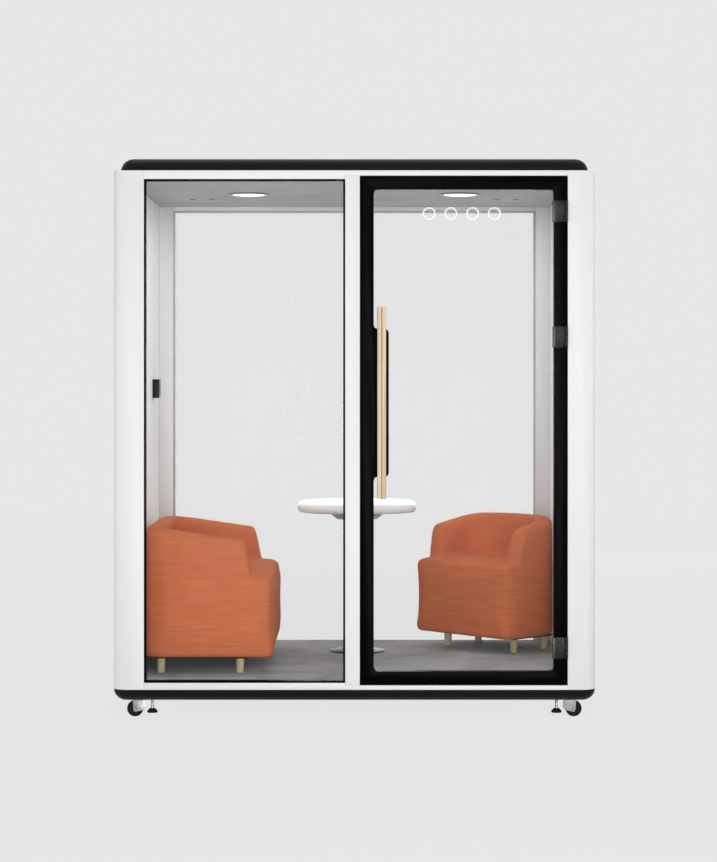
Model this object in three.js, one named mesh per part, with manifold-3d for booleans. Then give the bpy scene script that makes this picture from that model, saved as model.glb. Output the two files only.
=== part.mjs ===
// Acoustic office pod: a glazed two-seat meeting cabin on casters, with sofas, table, light and fans.
// Millimetres, +Z up. X runs across the front, -Y is the front, and the casters stand on z = 0.
import * as THREE from 'three';
import { mergeVertices } from 'three/addons/utils/BufferGeometryUtils.js';
import Module from 'manifold-3d';

const wasm = await Module();
wasm.setup();

// Cabin
const CABIN_WIDTH = 2000;
const CABIN_DEPTH = 1530;
const WALL_HEIGHT = 2146.5;
const WALL_THICKNESS = 68;
const CORNER_RADIUS = 60;
const SHEET = 4;
const FIT = 0.3;

// How far a cutter runs past the face it opens, or a joined piece sinks into its neighbour
const PASS = 1;

// Smallest corner that a rounded outline keeps, and the facets of round and rounded pieces
const LEAST_CORNER = 3;
const SMALL_STEPS = 3;
const CORNER_STEPS = 6;
const ROUND_STEPS = 5;
const POST_STEPS = 8;
const ARM_STEPS = 8;
const BEND_STEPS = 6;
const SLAB_STEPS = 6;
const ROD_SIDES = 16;
const NOZZLE_SIDES = 12;
const LEG_SIDES = 14;
const FOOT_SIDES = 20;
const LAMP_SIDES = 24;
const DOME_STEPS = 4;
const PEDESTAL_SIDES = 28;
const FAN_SIDES = 32;

// Base, floor and roof
const BASE_HEIGHT = 48;
const BASE_ROUND = 52;
const BASE_PLATE = 6;
const BASE_RIM = 60;
const BASE_RIB = 30;
const BASE_BLOCK = 180;
const DECK_THICKNESS = 34;
const CARPET_THICKNESS = 8;
const ROOF_HEIGHT = 54;
const ROOF_SETBACK = 26;
const ROOF_ROUND = 54;
const CEILING_THICKNESS = 38;
const VENT_SLOTS = 5;
const VENT_SLOT_LENGTH = 90;
const VENT_SLOT_WIDTH = 8;
const VENT_SLOT_PITCH = 18;

// Front frame
const FRONT_DEPTH = 70;
const LEFT_POST = 130.6;
const DOOR_POST = 118.4;
const MULLION_WIDTH = 60.5;
const DOOR_HEAD = 21.7;
const DOOR_SILL = 18.8;
const LIGHT_HEAD = 36;
const LIGHT_SILL = 29.4;

// Fixed lights
const LIGHT_BORDER = 8;
const LIGHT_FRAME_DEPTH = 40;
const GLASS_THICKNESS = 10;
const GLASS_BITE = 5;
const REAR_DEPTH = 90;
const REAR_POST = 134;
const REAR_HEAD = 55.5;
const REAR_SILL = 27;

// Door
const DOOR_WIDTH = 851.2;
const DOOR_GAP = 4;
const DOOR_THICKNESS = 40;
const DOOR_BORDER = 53.5;
const DOOR_INNER_RADIUS = 19;
const DOOR_BITE = 12;
const PLATE_REACH = 115.5;
const PLATE_HEIGHT = 611;
const STOP_WIDTH = 20;
const SEAL_WIDTH = 12;
const SEAL_THICKNESS = 3;
const CATCH_WIDTH = 10;
const CATCH_HEIGHT = 60;
const CATCH_DEPTH = 12;

// Door handle
const HANDLE_HEIGHT = 1144;
const HANDLE_LENGTH = 792;
const HANDLE_WIDTH = 36;
const HANDLE_DEPTH = 24;
const HANDLE_ROUND = 9;
const HANDLE_GROOVE = 4;
const HANDLE_FROM_EDGE = 86;
const HANDLE_STANDOFF = 36;
const HANDLE_RAIL = 5;
const HANDLE_POST_RADIUS = 9;
const HANDLE_POST_SPACING = 420;

// Hinges
const HINGE_HEIGHT = 87;
const HINGE_LOW = 151;
const HINGE_MIDDLE_DROP = 663;
const HINGE_TOP_DROP = 144;
const HINGE_REACH = 60;
const HINGE_LEAF = 5;
const HINGE_JAMB_LEAF = 3;
const HINGE_KNUCKLE_RADIUS = 7;
const HINGE_PIN_RADIUS = 3;
const HINGE_RUNNING_GAP = 0.5;
const HINGE_INSET = 3;

// Table
const TABLE_WIDTH = 540;
const TABLE_DEPTH = 640;
const TABLE_CORNER = 190;
const TABLE_THICKNESS = 40;
const TABLE_HEIGHT = 683;
const TABLE_X = 12;
const TABLE_FROM_FRONT = 1000;
const TABLE_CONE_RADIUS = 140;
const TABLE_CONE_FOOT = 94;
const TABLE_CONE_HEIGHT = 38;
const TABLE_COLUMN_RADIUS = 38;
const TABLE_BASE_RADIUS = 125;
const TABLE_BASE_HEIGHT = 12;

// Sofas
const SOFA_SEAT = 340;
const SOFA_ARM = 495;
const SOFA_BACK = 552;
const SOFA_WALL = 92;
const SOFA_ARM_SETBACK = 64;
const SOFA_ARM_RAMP = 64;
const SOFA_CROWN = 10;
const SOFA_EDGE = 26;
const SOFA_FRONT_RADIUS = 34;
const SOFA_LEG_HEIGHT = 72;
const SOFA_LEG_RADIUS = 18;
const SOFA_LEG_FOOT = 16;
const SOFA_LEG_INSET = 90;
const SOFA_LEG_BEHIND_FRONT = 146;
const SOFA_LEG_BEFORE_BACK = 100;
const SOFA_BOARD = 10;
const SOFA_DRAW_IN = 4;
const SOFA_BACK_INSET = 2;
const LEFT_SOFA = { length: 1000, depth: 580, backRadius: 110 };
const LEFT_SOFA_WALL_GAP = 14;
const LEFT_SOFA_FROM_FRONT = 150;
const RIGHT_SOFA = { length: 600, depth: 450, backRadius: 215 };
const RIGHT_SOFA_TURN = 43;
const RIGHT_SOFA_WALL_GAP = 12;
const RIGHT_SOFA_REAR_GAP = 16;

// Light, ventilation and control
const LAMP_X = 470;
const LAMP_FROM_FRONT = 720;
const LAMP_RADIUS = 92;
const LAMP_LENS_RADIUS = 76;
const LAMP_RIM = 5;
const LAMP_DOME = 6;
const LAMP_BODY = 22;
const FAN_X = 695;
const FAN_FROM_FRONT = 1000;
const FAN_SIZE = 120;
const FAN_THICKNESS = 25;
const FAN_BORE_RADIUS = 57;
const FAN_HUB_RADIUS = 19;
const FAN_SHAFT_RADIUS = 2.5;
const FAN_BLADES = 7;
const FAN_STRUTS = 3;
const FAN_BLADE_THICKNESS = 2;
const FAN_BLADE_PITCH = 35;
const FAN_TIP_GAP = 2;
const NOZZLE_RADIUS = 12;
const NOZZLE_OFFSET = 42;
const CONTROL_SIZE = 86;
const CONTROL_DEPTH = 32;
const CONTROL_FROM_FRONT = 1123;
const CONTROL_HEIGHT = 1200;
const BUTTON_SIZE = 44;
const BUTTON_PROUD = 3;
const BUTTON_TRAVEL = 2;
const BUTTON_BODY = 8;

// Casters and levelling feet
const WHEEL_RADIUS = 33.5;
const WHEEL_WIDTH = 24;
const WHEEL_SIDES = 24;
const WHEEL_HUB_RADIUS = 14;
const WHEEL_RIM_RADIUS = 25;
const WHEEL_DISH = 5;
const WHEEL_EDGE = 4;
const AXLE_RADIUS = 5;
const CASTER_SIDE_INSET = 107;
const CASTER_INSET = 105;
const CASTER_TRAIL = 22;
const CASTER_PLATE = 70;
const CASTER_PLATE_THICKNESS = 2.5;
const FORK_THICKNESS = 3;
const FORK_CROWN_RADIUS = 20;
const FORK_GAP = 2.2;
const FOOT_INBOARD = 42;
const FOOT_BEHIND_CASTER = 80;
const FOOT_RADIUS = 22;
const FOOT_PAD = 18;
const FOOT_RIM = 7;
const FOOT_SHOULDER = 11;
const FOOT_RAISE = 4;
const FOOT_STEM_RADIUS = 6;
const FOOT_STEM_REACH = 25;
const FOOT_LIFT = 8;

// Levels and planes that follow from the sizes above
const halfWidth = CABIN_WIDTH / 2;
const front = -CABIN_DEPTH / 2;
const rear = CABIN_DEPTH / 2;
const liningX = halfWidth - WALL_THICKNESS;
const frontInner = front + FRONT_DEPTH;
const rearInner = rear - REAR_DEPTH;
const crownTop = 2 * WHEEL_RADIUS + FORK_GAP + FORK_THICKNESS;
const baseBottom = crownTop + FIT + CASTER_PLATE_THICKNESS;
const baseTop = baseBottom + BASE_HEIGHT;
const wallBottom = baseTop + FIT;
const wallTop = baseTop + WALL_HEIGHT;
const floorTop = baseTop + DECK_THICKNESS + CARPET_THICKNESS;
const ceiling = wallTop - CEILING_THICKNESS;
const doorSpan = { right: halfWidth - DOOR_POST, top: wallTop - DOOR_HEAD, bottom: baseTop + DOOR_SILL };
doorSpan.left = doorSpan.right - DOOR_WIDTH - 2 * DOOR_GAP;
const lightSpan = {
  left: -halfWidth + LEFT_POST,
  right: doorSpan.left - MULLION_WIDTH,
  top: wallTop - LIGHT_HEAD,
  bottom: baseTop + LIGHT_SILL,
};
const rearSpan = {
  left: -halfWidth + REAR_POST,
  right: halfWidth - REAR_POST,
  top: wallTop - REAR_HEAD,
  bottom: baseTop + REAR_SILL,
};

// Materials
const finish = (color, roughness, metalness = 0) => {
  return new THREE.MeshStandardMaterial({ color, roughness, metalness });
};
const whitePaint = finish(0xebebec, 0.45);
const blackPaint = finish(0x17171a, 0.4, 0.2);
const doorBlack = finish(0x060607, 0.3);
const clearGlass = finish(0xe6f0ef, 0.05);
clearGlass.transparent = true;
clearGlass.opacity = 0.25;
const felt = finish(0xc9cacb, 0.95);
const ceilingFelt = finish(0x9a9b9d, 0.95);
const carpetPile = finish(0x96979a, 1);
const plywood = finish(0xc8a87c, 0.7);
const oak = finish(0xe1be91, 0.55);
const upholstery = finish(0xb8633f, 0.9);
const tableWhite = finish(0xf4f3f1, 0.35);
const greyMetal = finish(0x8a8c8f, 0.4, 0.8);
const zinc = finish(0xc4c6c8, 0.35, 0.9);
const rubber = finish(0x1a1a1b, 0.85);
const plastic = finish(0x141415, 0.5);
const lensWhite = finish(0xffffff, 0.3);

// Closed mesh to solid and back, for cuts and joins
const toSolid = (geometry) => {
  const bare = geometry.clone();
  for (const name of Object.keys(bare.attributes)) {
    if (name !== 'position') bare.deleteAttribute(name);
  }
  const merged = mergeVertices(bare, 1e-4);
  const vertProperties = new Float32Array(merged.attributes.position.array);
  const triVerts = new Uint32Array(merged.index.array);
  return new wasm.Manifold(new wasm.Mesh({ numProp: 3, vertProperties, triVerts }));
};
const toGeometry = (solid) => {
  const shell = solid.getMesh();
  const geometry = new THREE.BufferGeometry();
  geometry.setAttribute('position', new THREE.BufferAttribute(new Float32Array(shell.vertProperties), 3));
  geometry.setIndex(new THREE.BufferAttribute(new Uint32Array(shell.triVerts), 1));
  return geometry;
};
const cut = (body, ...tools) => {
  return toGeometry(tools.reduce((solid, tool) => solid.subtract(toSolid(tool)), toSolid(body)));
};
const join = (body, ...others) => {
  return toGeometry(others.reduce((solid, other) => solid.add(toSolid(other)), toSolid(body)));
};

// Simple forms, each given by where it lies
const box = (x0, x1, y0, y1, z0, z1) => {
  const geometry = new THREE.BoxGeometry(x1 - x0, y1 - y0, z1 - z0);
  return geometry.translate((x0 + x1) / 2, (y0 + y1) / 2, (z0 + z1) / 2);
};
const extrude = (shape, depth, steps = CORNER_STEPS) => {
  return new THREE.ExtrudeGeometry(shape, { depth, bevelEnabled: false, curveSegments: steps });
};
const alongZ = (shape, z0, z1, steps) => extrude(shape, z1 - z0, steps).translate(0, 0, z0);
const axisX = new THREE.Vector3(1, 0, 0);
const axisY = new THREE.Vector3(0, 1, 0);
const axisZ = new THREE.Vector3(0, 0, 1);
// A shape drawn in x and z, pushed along Y
const alongY = (shape, y0, y1, steps) => {
  const turn = new THREE.Matrix4().makeBasis(axisX, axisZ, axisY.clone().negate());
  return extrude(shape, y1 - y0, steps).applyMatrix4(turn).translate(0, y1, 0);
};
// A shape drawn in y and z, pushed along X
const alongX = (shape, x0, x1, steps) => {
  const turn = new THREE.Matrix4().makeBasis(axisY, axisZ, axisX);
  return extrude(shape, x1 - x0, steps).applyMatrix4(turn).translate(x0, 0, 0);
};
// Round bars, upright and along Y
const rod = (radius, x, y, z0, z1, sides = ROD_SIDES) => {
  const geometry = new THREE.CylinderGeometry(radius, radius, z1 - z0, sides);
  return geometry.rotateX(Math.PI / 2).translate(x, y, (z0 + z1) / 2);
};
const rodY = (radius, x, z, y0, y1, sides = ROD_SIDES) => {
  return new THREE.CylinderGeometry(radius, radius, y1 - y0, sides).translate(x, (y0 + y1) / 2, z);
};

// A closed outline of straight sides whose corners [x, y, radius] are rounded
const outline = (corners, target = new THREE.Shape()) => {
  const point = (index) => new THREE.Vector2(...corners[(index + corners.length) % corners.length]);
  corners.forEach(([x, y, radius], index) => {
    const corner = new THREE.Vector2(x, y);
    const before = point(index - 1).sub(corner).setLength(radius).add(corner);
    const after = point(index + 1).sub(corner).setLength(radius).add(corner);
    if (index === 0) target.moveTo(before.x, before.y);
    else target.lineTo(before.x, before.y);
    if (radius > 0) target.quadraticCurveTo(corner.x, corner.y, after.x, after.y);
  });
  target.closePath();
  return target;
};
const rectangle = (x0, x1, y0, y1, radius = 0) => [
  [x0, y0, radius],
  [x1, y0, radius],
  [x1, y1, radius],
  [x0, y1, radius],
];
// A rectangular ring seen from the front, as deep as y0 to y1
const ring = (span, border, y0, y1) => {
  const shape = outline(rectangle(span.left, span.right, span.bottom, span.top));
  const hole = rectangle(span.left + border, span.right - border, span.bottom + border, span.top - border);
  shape.holes.push(outline(hole, new THREE.Path()));
  return alongY(shape, y0, y1);
};
const shrink = (span, by) => ({
  left: span.left + by,
  right: span.right - by,
  bottom: span.bottom + by,
  top: span.top - by,
});
const pane = (span, y0, y1) => box(span.left, span.right, y0, y1, span.bottom, span.top);
// A hollow rail with open ends, drawn in y and z
const rail = (x0, x1, y0, y1, z0, z1, wall) => {
  const shape = outline(rectangle(y0, y1, z0, z1));
  shape.holes.push(outline(rectangle(y0 + wall, y1 - wall, z0 + wall, z1 - wall), new THREE.Path()));
  return alongX(shape, x0, x1);
};

// Rounded rectangle in plan as a ring of points; radii are given as front and back pairs
const planRing = (halfX, halfY, radii, z) => {
  const points = [];
  const signs = [[1, -1], [1, 1], [-1, 1], [-1, -1]];
  signs.forEach(([sx, sy], quarter) => {
    const radius = sx > 0 ? radii.front : radii.back;
    for (let step = 0; step <= CORNER_STEPS; step += 1) {
      const angle = (quarter - 1 + step / CORNER_STEPS) * Math.PI / 2;
      const x = sx * (halfX - radius) + radius * Math.cos(angle);
      const y = sy * (halfY - radius) + radius * Math.sin(angle);
      points.push(new THREE.Vector3(x, y, z));
    }
  });
  return points;
};
// Skin through rings of equal counts, with flat or domed ends
const loft = (rings, endRise = [0, 0]) => {
  const count = rings[0].length;
  const positions = rings.flat().flatMap((point) => point.toArray());
  const index = [];
  for (let level = 0; level < rings.length - 1; level += 1) {
    for (let side = 0; side < count; side += 1) {
      const low = level * count + side;
      const next = level * count + (side + 1) % count;
      index.push(low, next, next + count, low, next + count, low + count);
    }
  }
  [0, rings.length - 1].forEach((level, end) => {
    const total = rings[level].reduce((sum, point) => sum.add(point), new THREE.Vector3());
    const centre = total.divideScalar(count);
    positions.push(centre.x, centre.y, centre.z + endRise[end]);
    const apex = positions.length / 3 - 1;
    for (let side = 0; side < count; side += 1) {
      const here = level * count + side;
      const next = level * count + (side + 1) % count;
      if (end === 0) index.push(apex, next, here);
      else index.push(apex, here, next);
    }
  });
  const geometry = new THREE.BufferGeometry();
  geometry.setAttribute('position', new THREE.Float32BufferAttribute(positions, 3));
  geometry.setIndex(index);
  return geometry;
};

const pod = new THREE.Group();
const add = (name, geometry, material, parent = pod) => {
  const mesh = new THREE.Mesh(geometry, material);
  mesh.name = name;
  parent.add(mesh);
  return mesh;
};

// Base tray: body outline above, quarter-round lower edge, ribs and corner blocks inside
const quarterRings = (halfX, halfY, radius, inset, low, high, upward) => {
  const rings = [];
  for (let step = 0; step <= ROUND_STEPS; step += 1) {
    const angle = (upward ? step : ROUND_STEPS - step) / ROUND_STEPS * Math.PI / 2;
    const back = inset * (1 - Math.cos(angle));
    const climb = (high - low) * Math.sin(angle);
    const corner = Math.max(radius - back, LEAST_CORNER);
    const z = upward ? low + climb : high - climb;
    rings.push(planRing(halfX - back, halfY - back, { front: corner, back: corner }, z));
  }
  return rings;
};
const corners = [[-1, -1], [1, -1], [-1, 1], [1, 1]];
const casterX = halfWidth - CASTER_SIDE_INSET;
const casterY = rear - CASTER_INSET;
const footX = casterX - FOOT_INBOARD;
const footY = casterY - FOOT_BEHIND_CASTER;
const baseShell = loft(quarterRings(halfWidth, rear, CORNER_RADIUS, BASE_ROUND, baseBottom, baseTop, false));
const trayX = halfWidth - BASE_RIM;
const trayY = rear - BASE_RIM;
const trayFloor = baseBottom + BASE_PLATE;
const basePocket = box(-trayX, trayX, -trayY, trayY, trayFloor, baseTop + PASS);
const ribs = [-1, 0, 1].map((place) => {
  const x = place * trayX / 2;
  return box(x - BASE_RIB / 2, x + BASE_RIB / 2, -trayY - PASS, trayY + PASS, baseBottom + PASS, baseTop);
});
ribs.push(box(-trayX - PASS, trayX + PASS, -BASE_RIB / 2, BASE_RIB / 2, baseBottom + PASS, baseTop));
const blocks = corners.map(([sx, sy]) => {
  const x = [sx * (trayX + PASS), sx * (trayX - BASE_BLOCK)].sort((a, b) => a - b);
  const y = [sy * (trayY + PASS), sy * (footY - BASE_RIB)].sort((a, b) => a - b);
  return box(...x, ...y, baseBottom + PASS, baseTop);
});
const plates = corners.map(([sx, sy]) => {
  const x = sx * casterX;
  const y = sy * casterY;
  const half = CASTER_PLATE / 2;
  const plateBottom = baseBottom - CASTER_PLATE_THICKNESS;
  return box(x - half, x + half, y - half, y + half, plateBottom, baseBottom + PASS);
});
const socketTop = baseBottom + FOOT_STEM_REACH + FOOT_LIFT + FIT;
const sockets = corners.map(([sx, sy]) => {
  return rod(FOOT_STEM_RADIUS + 2 * FIT, sx * footX, sy * footY, baseBottom - PASS, socketTop);
});
const tray = join(cut(baseShell, basePocket), ...ribs, ...blocks, ...plates);
add('base_frame', cut(tray, ...sockets), blackPaint);

// Floor
const deckTop = baseTop + DECK_THICKNESS;
const floorX = liningX - FIT;
add('floor_deck', box(-floorX, floorX, frontInner + FIT, rearInner - FIT, wallBottom, deckTop), plywood);
add('carpet', box(-floorX, floorX, frontInner + FIT, rearInner - FIT, deckTop + FIT, floorTop), carpetPile);

// Side walls: a folded steel shell with rounded corners, and the felt-faced acoustic panel inside it
const arc = (x, y, radius, from, to) => {
  return new THREE.ArcCurve(x, y, radius, from, to, to < from).getPoints(POST_STEPS);
};
const wallSkin = (inset, frontEdge, rearEdge) => {
  const centreX = halfWidth - CORNER_RADIUS;
  const centreY = rear - CORNER_RADIUS;
  const quarter = Math.PI / 2;
  return [
    [liningX, frontInner - inset],
    [frontEdge + inset, frontInner - inset],
    [frontEdge + inset, front + inset],
    ...arc(centreX, -centreY, CORNER_RADIUS - inset, -quarter, 0).map((point) => point.toArray()),
    ...arc(centreX, centreY, CORNER_RADIUS - inset, 0, quarter).map((point) => point.toArray()),
    [rearEdge + inset, rear - inset],
    [rearEdge + inset, rearInner + inset],
    [liningX, rearInner + inset],
  ];
};
// The shell is open below, and its top plate closes the posts
const wallShell = (side, frontEdge, rearEdge) => {
  const shapeOf = (points) => new THREE.Shape(points.map(([x, y]) => new THREE.Vector2(side * x, y)));
  const outer = wallSkin(0, frontEdge, rearEdge);
  const inner = wallSkin(SHEET, frontEdge, rearEdge).reverse();
  const sheet = alongZ(shapeOf([...outer, ...inner]), wallBottom, wallTop);
  return join(sheet, alongZ(shapeOf(outer), wallTop - SHEET, wallTop));
};
const panelX = halfWidth - SHEET - FIT;
add('left_wall_shell', wallShell(-1, -lightSpan.left, rearSpan.right), whitePaint);
add('right_wall_shell', wallShell(1, doorSpan.right, rearSpan.right), whitePaint);
const panelTop = wallTop - SHEET - FIT;
[[-1, 'left'], [1, 'right']].forEach(([side, name]) => {
  const x = [side * liningX, side * panelX].sort((a, b) => a - b);
  add(`${name}_wall_panel`, box(...x, frontInner + FIT, rearInner - FIT, wallBottom, panelTop), felt);
});

// Front and rear rails, stepped where the fixed light is lower than the door
const frontLeft = lightSpan.left + FIT;
const frontRight = doorSpan.right - FIT;
const mullionLeft = lightSpan.right + FIT;
const mullionRight = doorSpan.left - FIT;
const head = rail(frontLeft, frontRight, front, frontInner, doorSpan.top, wallTop, SHEET);
const headStep = box(frontLeft, lightSpan.right, front, frontInner, lightSpan.top, doorSpan.top + SHEET / 2);
add('front_head_rail', join(head, headStep), whitePaint);
const sill = rail(frontLeft, frontRight, front, frontInner, wallBottom, doorSpan.bottom, SHEET);
const stepLow = doorSpan.bottom - SHEET / 2;
const sillStep = box(frontLeft, lightSpan.right, front, frontInner, stepLow, lightSpan.bottom);
add('front_sill', join(sill, sillStep), whitePaint);
const mullionShape = outline(rectangle(mullionLeft, mullionRight, front, frontInner));
const mullionHollow = rectangle(
  mullionLeft + SHEET, mullionRight - SHEET, front + SHEET, frontInner - SHEET,
);
mullionShape.holes.push(outline(mullionHollow, new THREE.Path()));
add('front_mullion', alongZ(mullionShape, doorSpan.bottom + FIT, doorSpan.top - FIT), whitePaint);
const rearLeft = rearSpan.left + FIT;
const rearRight = rearSpan.right - FIT;
add('rear_head_rail', rail(rearLeft, rearRight, rearInner, rear, rearSpan.top, wallTop, SHEET), whitePaint);
add('rear_sill', rail(rearLeft, rearRight, rearInner, rear, wallBottom, rearSpan.bottom, SHEET), whitePaint);

// Fixed lights: a slim black frame with a groove, and the pane that sits in it
const glazing = (name, span, y0, y1) => {
  const outer = shrink(span, FIT);
  const bite = shrink(outer, LIGHT_BORDER - GLASS_BITE);
  const middle = (y0 + y1) / 2;
  const half = GLASS_THICKNESS / 2;
  const groove = pane(shrink(bite, -FIT), middle - half - FIT, middle + half + FIT);
  add(`${name}_frame`, cut(ring(outer, LIGHT_BORDER, y0, y1), groove), blackPaint);
  add(`${name}_glass`, pane(bite, middle - half, middle + half), clearGlass);
};
glazing('front_light', lightSpan, front, front + LIGHT_FRAME_DEPTH);
const rearMiddle = (rearInner + rear) / 2;
glazing('rear_light', rearSpan, rearMiddle - LIGHT_FRAME_DEPTH / 2, rearMiddle + LIGHT_FRAME_DEPTH / 2);

// Door stop behind the leaf, with the seal and the magnetic catch it carries
const leafBack = front + DOOR_THICKNESS;
const stopFront = leafBack + SEAL_THICKNESS + 2 * FIT;
const stopSpan = shrink(doorSpan, FIT);
const handleZ = floorTop + HANDLE_HEIGHT;
const catchLeft = stopSpan.left + (STOP_WIDTH - CATCH_WIDTH) / 2;
const catchLow = handleZ - CATCH_HEIGHT / 2;
const catchBox = (grow) => box(
  catchLeft - grow, catchLeft + CATCH_WIDTH + grow,
  stopFront - (grow > 0 ? PASS : 0), stopFront + CATCH_DEPTH + grow,
  catchLow - grow, catchLow + CATCH_HEIGHT + grow,
);
add('door_stop', cut(ring(stopSpan, STOP_WIDTH, stopFront, frontInner), catchBox(FIT)), blackPaint);
add('magnetic_catch', catchBox(0), zinc);
const sealSpan = shrink(stopSpan, (STOP_WIDTH - SEAL_WIDTH) / 2);
const sealRing = ring(sealSpan, SEAL_WIDTH, leafBack + FIT, stopFront - FIT);
add('door_seal', sealRing, rubber);

// Door leaf: black border with the handle plate, and the pane in its groove
const leaf = shrink(doorSpan, DOOR_GAP);
const clear = shrink(leaf, DOOR_BORDER);
const plateRight = leaf.left + PLATE_REACH;
const plateLow = handleZ - PLATE_HEIGHT / 2;
const plateHigh = handleZ + PLATE_HEIGHT / 2;
const leafShape = outline(rectangle(leaf.left, leaf.right, leaf.bottom, leaf.top));
leafShape.holes.push(outline([
  [clear.left, clear.bottom, DOOR_INNER_RADIUS],
  [clear.right, clear.bottom, DOOR_INNER_RADIUS],
  [clear.right, clear.top, DOOR_INNER_RADIUS],
  [clear.left, clear.top, DOOR_INNER_RADIUS],
  [clear.left, plateHigh, DOOR_INNER_RADIUS],
  [plateRight, plateHigh, DOOR_INNER_RADIUS],
  [plateRight, plateLow, DOOR_INNER_RADIUS],
  [clear.left, plateLow, DOOR_INNER_RADIUS],
], new THREE.Path()));
const leafMiddle = front + DOOR_THICKNESS / 2;
const doorPane = shrink(clear, -DOOR_BITE);
const grooveHalf = GLASS_THICKNESS / 2 + FIT;
const doorGroove = pane(shrink(doorPane, -FIT), leafMiddle - grooveHalf, leafMiddle + grooveHalf);
const handleX = leaf.left + HANDLE_FROM_EDGE;
const postHeights = [handleZ - HANDLE_POST_SPACING / 2, handleZ + HANDLE_POST_SPACING / 2];
const postHoles = postHeights.map((z) => {
  return rodY(HANDLE_POST_RADIUS + FIT, handleX, z, front - PASS, leafBack + PASS);
});
add('door_frame', cut(alongY(leafShape, front, leafBack, SMALL_STEPS), doorGroove, ...postHoles), doorBlack);
const doorGlass = pane(doorPane, leafMiddle - GLASS_THICKNESS / 2, leafMiddle + GLASS_THICKNESS / 2);
add('door_glass', cut(doorGlass, ...postHoles), clearGlass);

// Handle: a steel core through the leaf, with a grooved oak bar on each side
const barOutline = (facing) => {
  const half = HANDLE_WIDTH / 2;
  const slot = HANDLE_GROOVE / 2;
  return outline([
    [handleX - half, 0, 0],
    [handleX - half, facing * HANDLE_DEPTH, HANDLE_ROUND],
    [handleX - slot, facing * HANDLE_DEPTH, 0],
    [handleX - slot, facing * (HANDLE_DEPTH - HANDLE_GROOVE), 0],
    [handleX + slot, facing * (HANDLE_DEPTH - HANDLE_GROOVE), 0],
    [handleX + slot, facing * HANDLE_DEPTH, 0],
    [handleX + half, facing * HANDLE_DEPTH, HANDLE_ROUND],
    [handleX + half, 0, 0],
  ]);
};
const handleLow = handleZ - HANDLE_LENGTH / 2;
const handleHigh = handleZ + HANDLE_LENGTH / 2;
const outerSeat = front - HANDLE_STANDOFF;
const innerSeat = leafBack + HANDLE_STANDOFF;
add('handle_outer', alongZ(barOutline(-1), handleLow, handleHigh).translate(0, outerSeat, 0), oak);
add('handle_inner', alongZ(barOutline(1), handleLow, handleHigh).translate(0, innerSeat, 0), oak);
const railHalf = HANDLE_POST_RADIUS;
const coreRail = (y0, y1) => box(
  handleX - railHalf, handleX + railHalf, y0, y1,
  postHeights[0] - HANDLE_POST_RADIUS, postHeights[1] + HANDLE_POST_RADIUS,
);
const corePosts = postHeights.map((z) => {
  return rodY(HANDLE_POST_RADIUS, handleX, z, outerSeat + PASS, innerSeat - PASS);
});
const outerRail = coreRail(outerSeat + FIT, outerSeat + HANDLE_RAIL);
const innerRail = coreRail(innerSeat - HANDLE_RAIL, innerSeat - FIT);
add('handle_core', join(outerRail, ...corePosts, innerRail), plastic);

// Hinges: the jamb leaf carries the pin and the outer knuckles, the door leaf the middle one
const pinX = leaf.right - HINGE_INSET;
const pinY = front - HINGE_KNUCKLE_RADIUS - HINGE_RUNNING_GAP;
const hingeCentres = {
  lower: leaf.bottom + HINGE_LOW,
  middle: leaf.top - HINGE_MIDDLE_DROP,
  upper: leaf.top - HINGE_TOP_DROP,
};
Object.entries(hingeCentres).forEach(([name, z]) => {
  const low = z - HINGE_HEIGHT / 2;
  const high = z + HINGE_HEIGHT / 2;
  const third = HINGE_HEIGHT / 3;
  const knuckle = (z0, z1, grow = 0) => rod(HINGE_KNUCKLE_RADIUS + grow, pinX, pinY, z0, z1);
  const jambRight = doorSpan.right - FIT;
  const jambPlate = box(jambRight - HINGE_JAMB_LEAF, jambRight, pinY, stopFront - FIT, low, high);
  const slot = knuckle(low + third - HINGE_RUNNING_GAP, high - third + HINGE_RUNNING_GAP, HINGE_RUNNING_GAP);
  const jambKnuckles = join(jambPlate, knuckle(low, high));
  const pin = rod(HINGE_PIN_RADIUS, pinX, pinY, low + third / 2, high - third / 2);
  add(`${name}_hinge_jamb_leaf`, join(cut(jambKnuckles, slot), pin), greyMetal);
  const doorPlate = box(leaf.right - HINGE_REACH, pinX, front - FIT - HINGE_LEAF, front - FIT, low, high);
  const reliefs = [[low - PASS, low + third], [high - third, high + PASS]].map(([z0, z1]) => {
    return knuckle(z0, z1, HINGE_RUNNING_GAP);
  });
  const bore = rod(HINGE_PIN_RADIUS + HINGE_RUNNING_GAP, pinX, pinY, low, high);
  const doorKnuckle = knuckle(low + third, high - third);
  add(`${name}_hinge_door_leaf`, cut(join(cut(doorPlate, ...reliefs), doorKnuckle), bore), greyMetal);
});

// Roof cap: a thin shell over the ceiling void, slotted above each fan
const roofX = halfWidth - ROOF_SETBACK;
const roofY = rear - ROOF_SETBACK;
const roofBottom = wallTop + FIT;
const roofTop = wallTop + ROOF_HEIGHT;
const capOuter = loft(quarterRings(roofX, roofY, CORNER_RADIUS, ROOF_ROUND, roofBottom, roofTop, true));
const capInner = loft(quarterRings(
  roofX - SHEET, roofY - SHEET, CORNER_RADIUS - SHEET, ROOF_ROUND - SHEET,
  roofBottom - PASS, roofTop - SHEET, true,
));
const fanY = front + FAN_FROM_FRONT;
const sides = [[-1, 'left'], [1, 'right']];
const ventSlots = sides.flatMap(([side]) => Array.from({ length: VENT_SLOTS }, (unused, slot) => {
  const y = fanY + (slot - (VENT_SLOTS - 1) / 2) * VENT_SLOT_PITCH;
  const x = side * FAN_X;
  const half = VENT_SLOT_WIDTH / 2;
  const reach = VENT_SLOT_LENGTH / 2;
  return box(x - reach, x + reach, y - half, y + half, roofTop - 2 * SHEET, roofTop + PASS);
}));
add('roof_cap', cut(capOuter, capInner, ...ventSlots), blackPaint);

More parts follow.
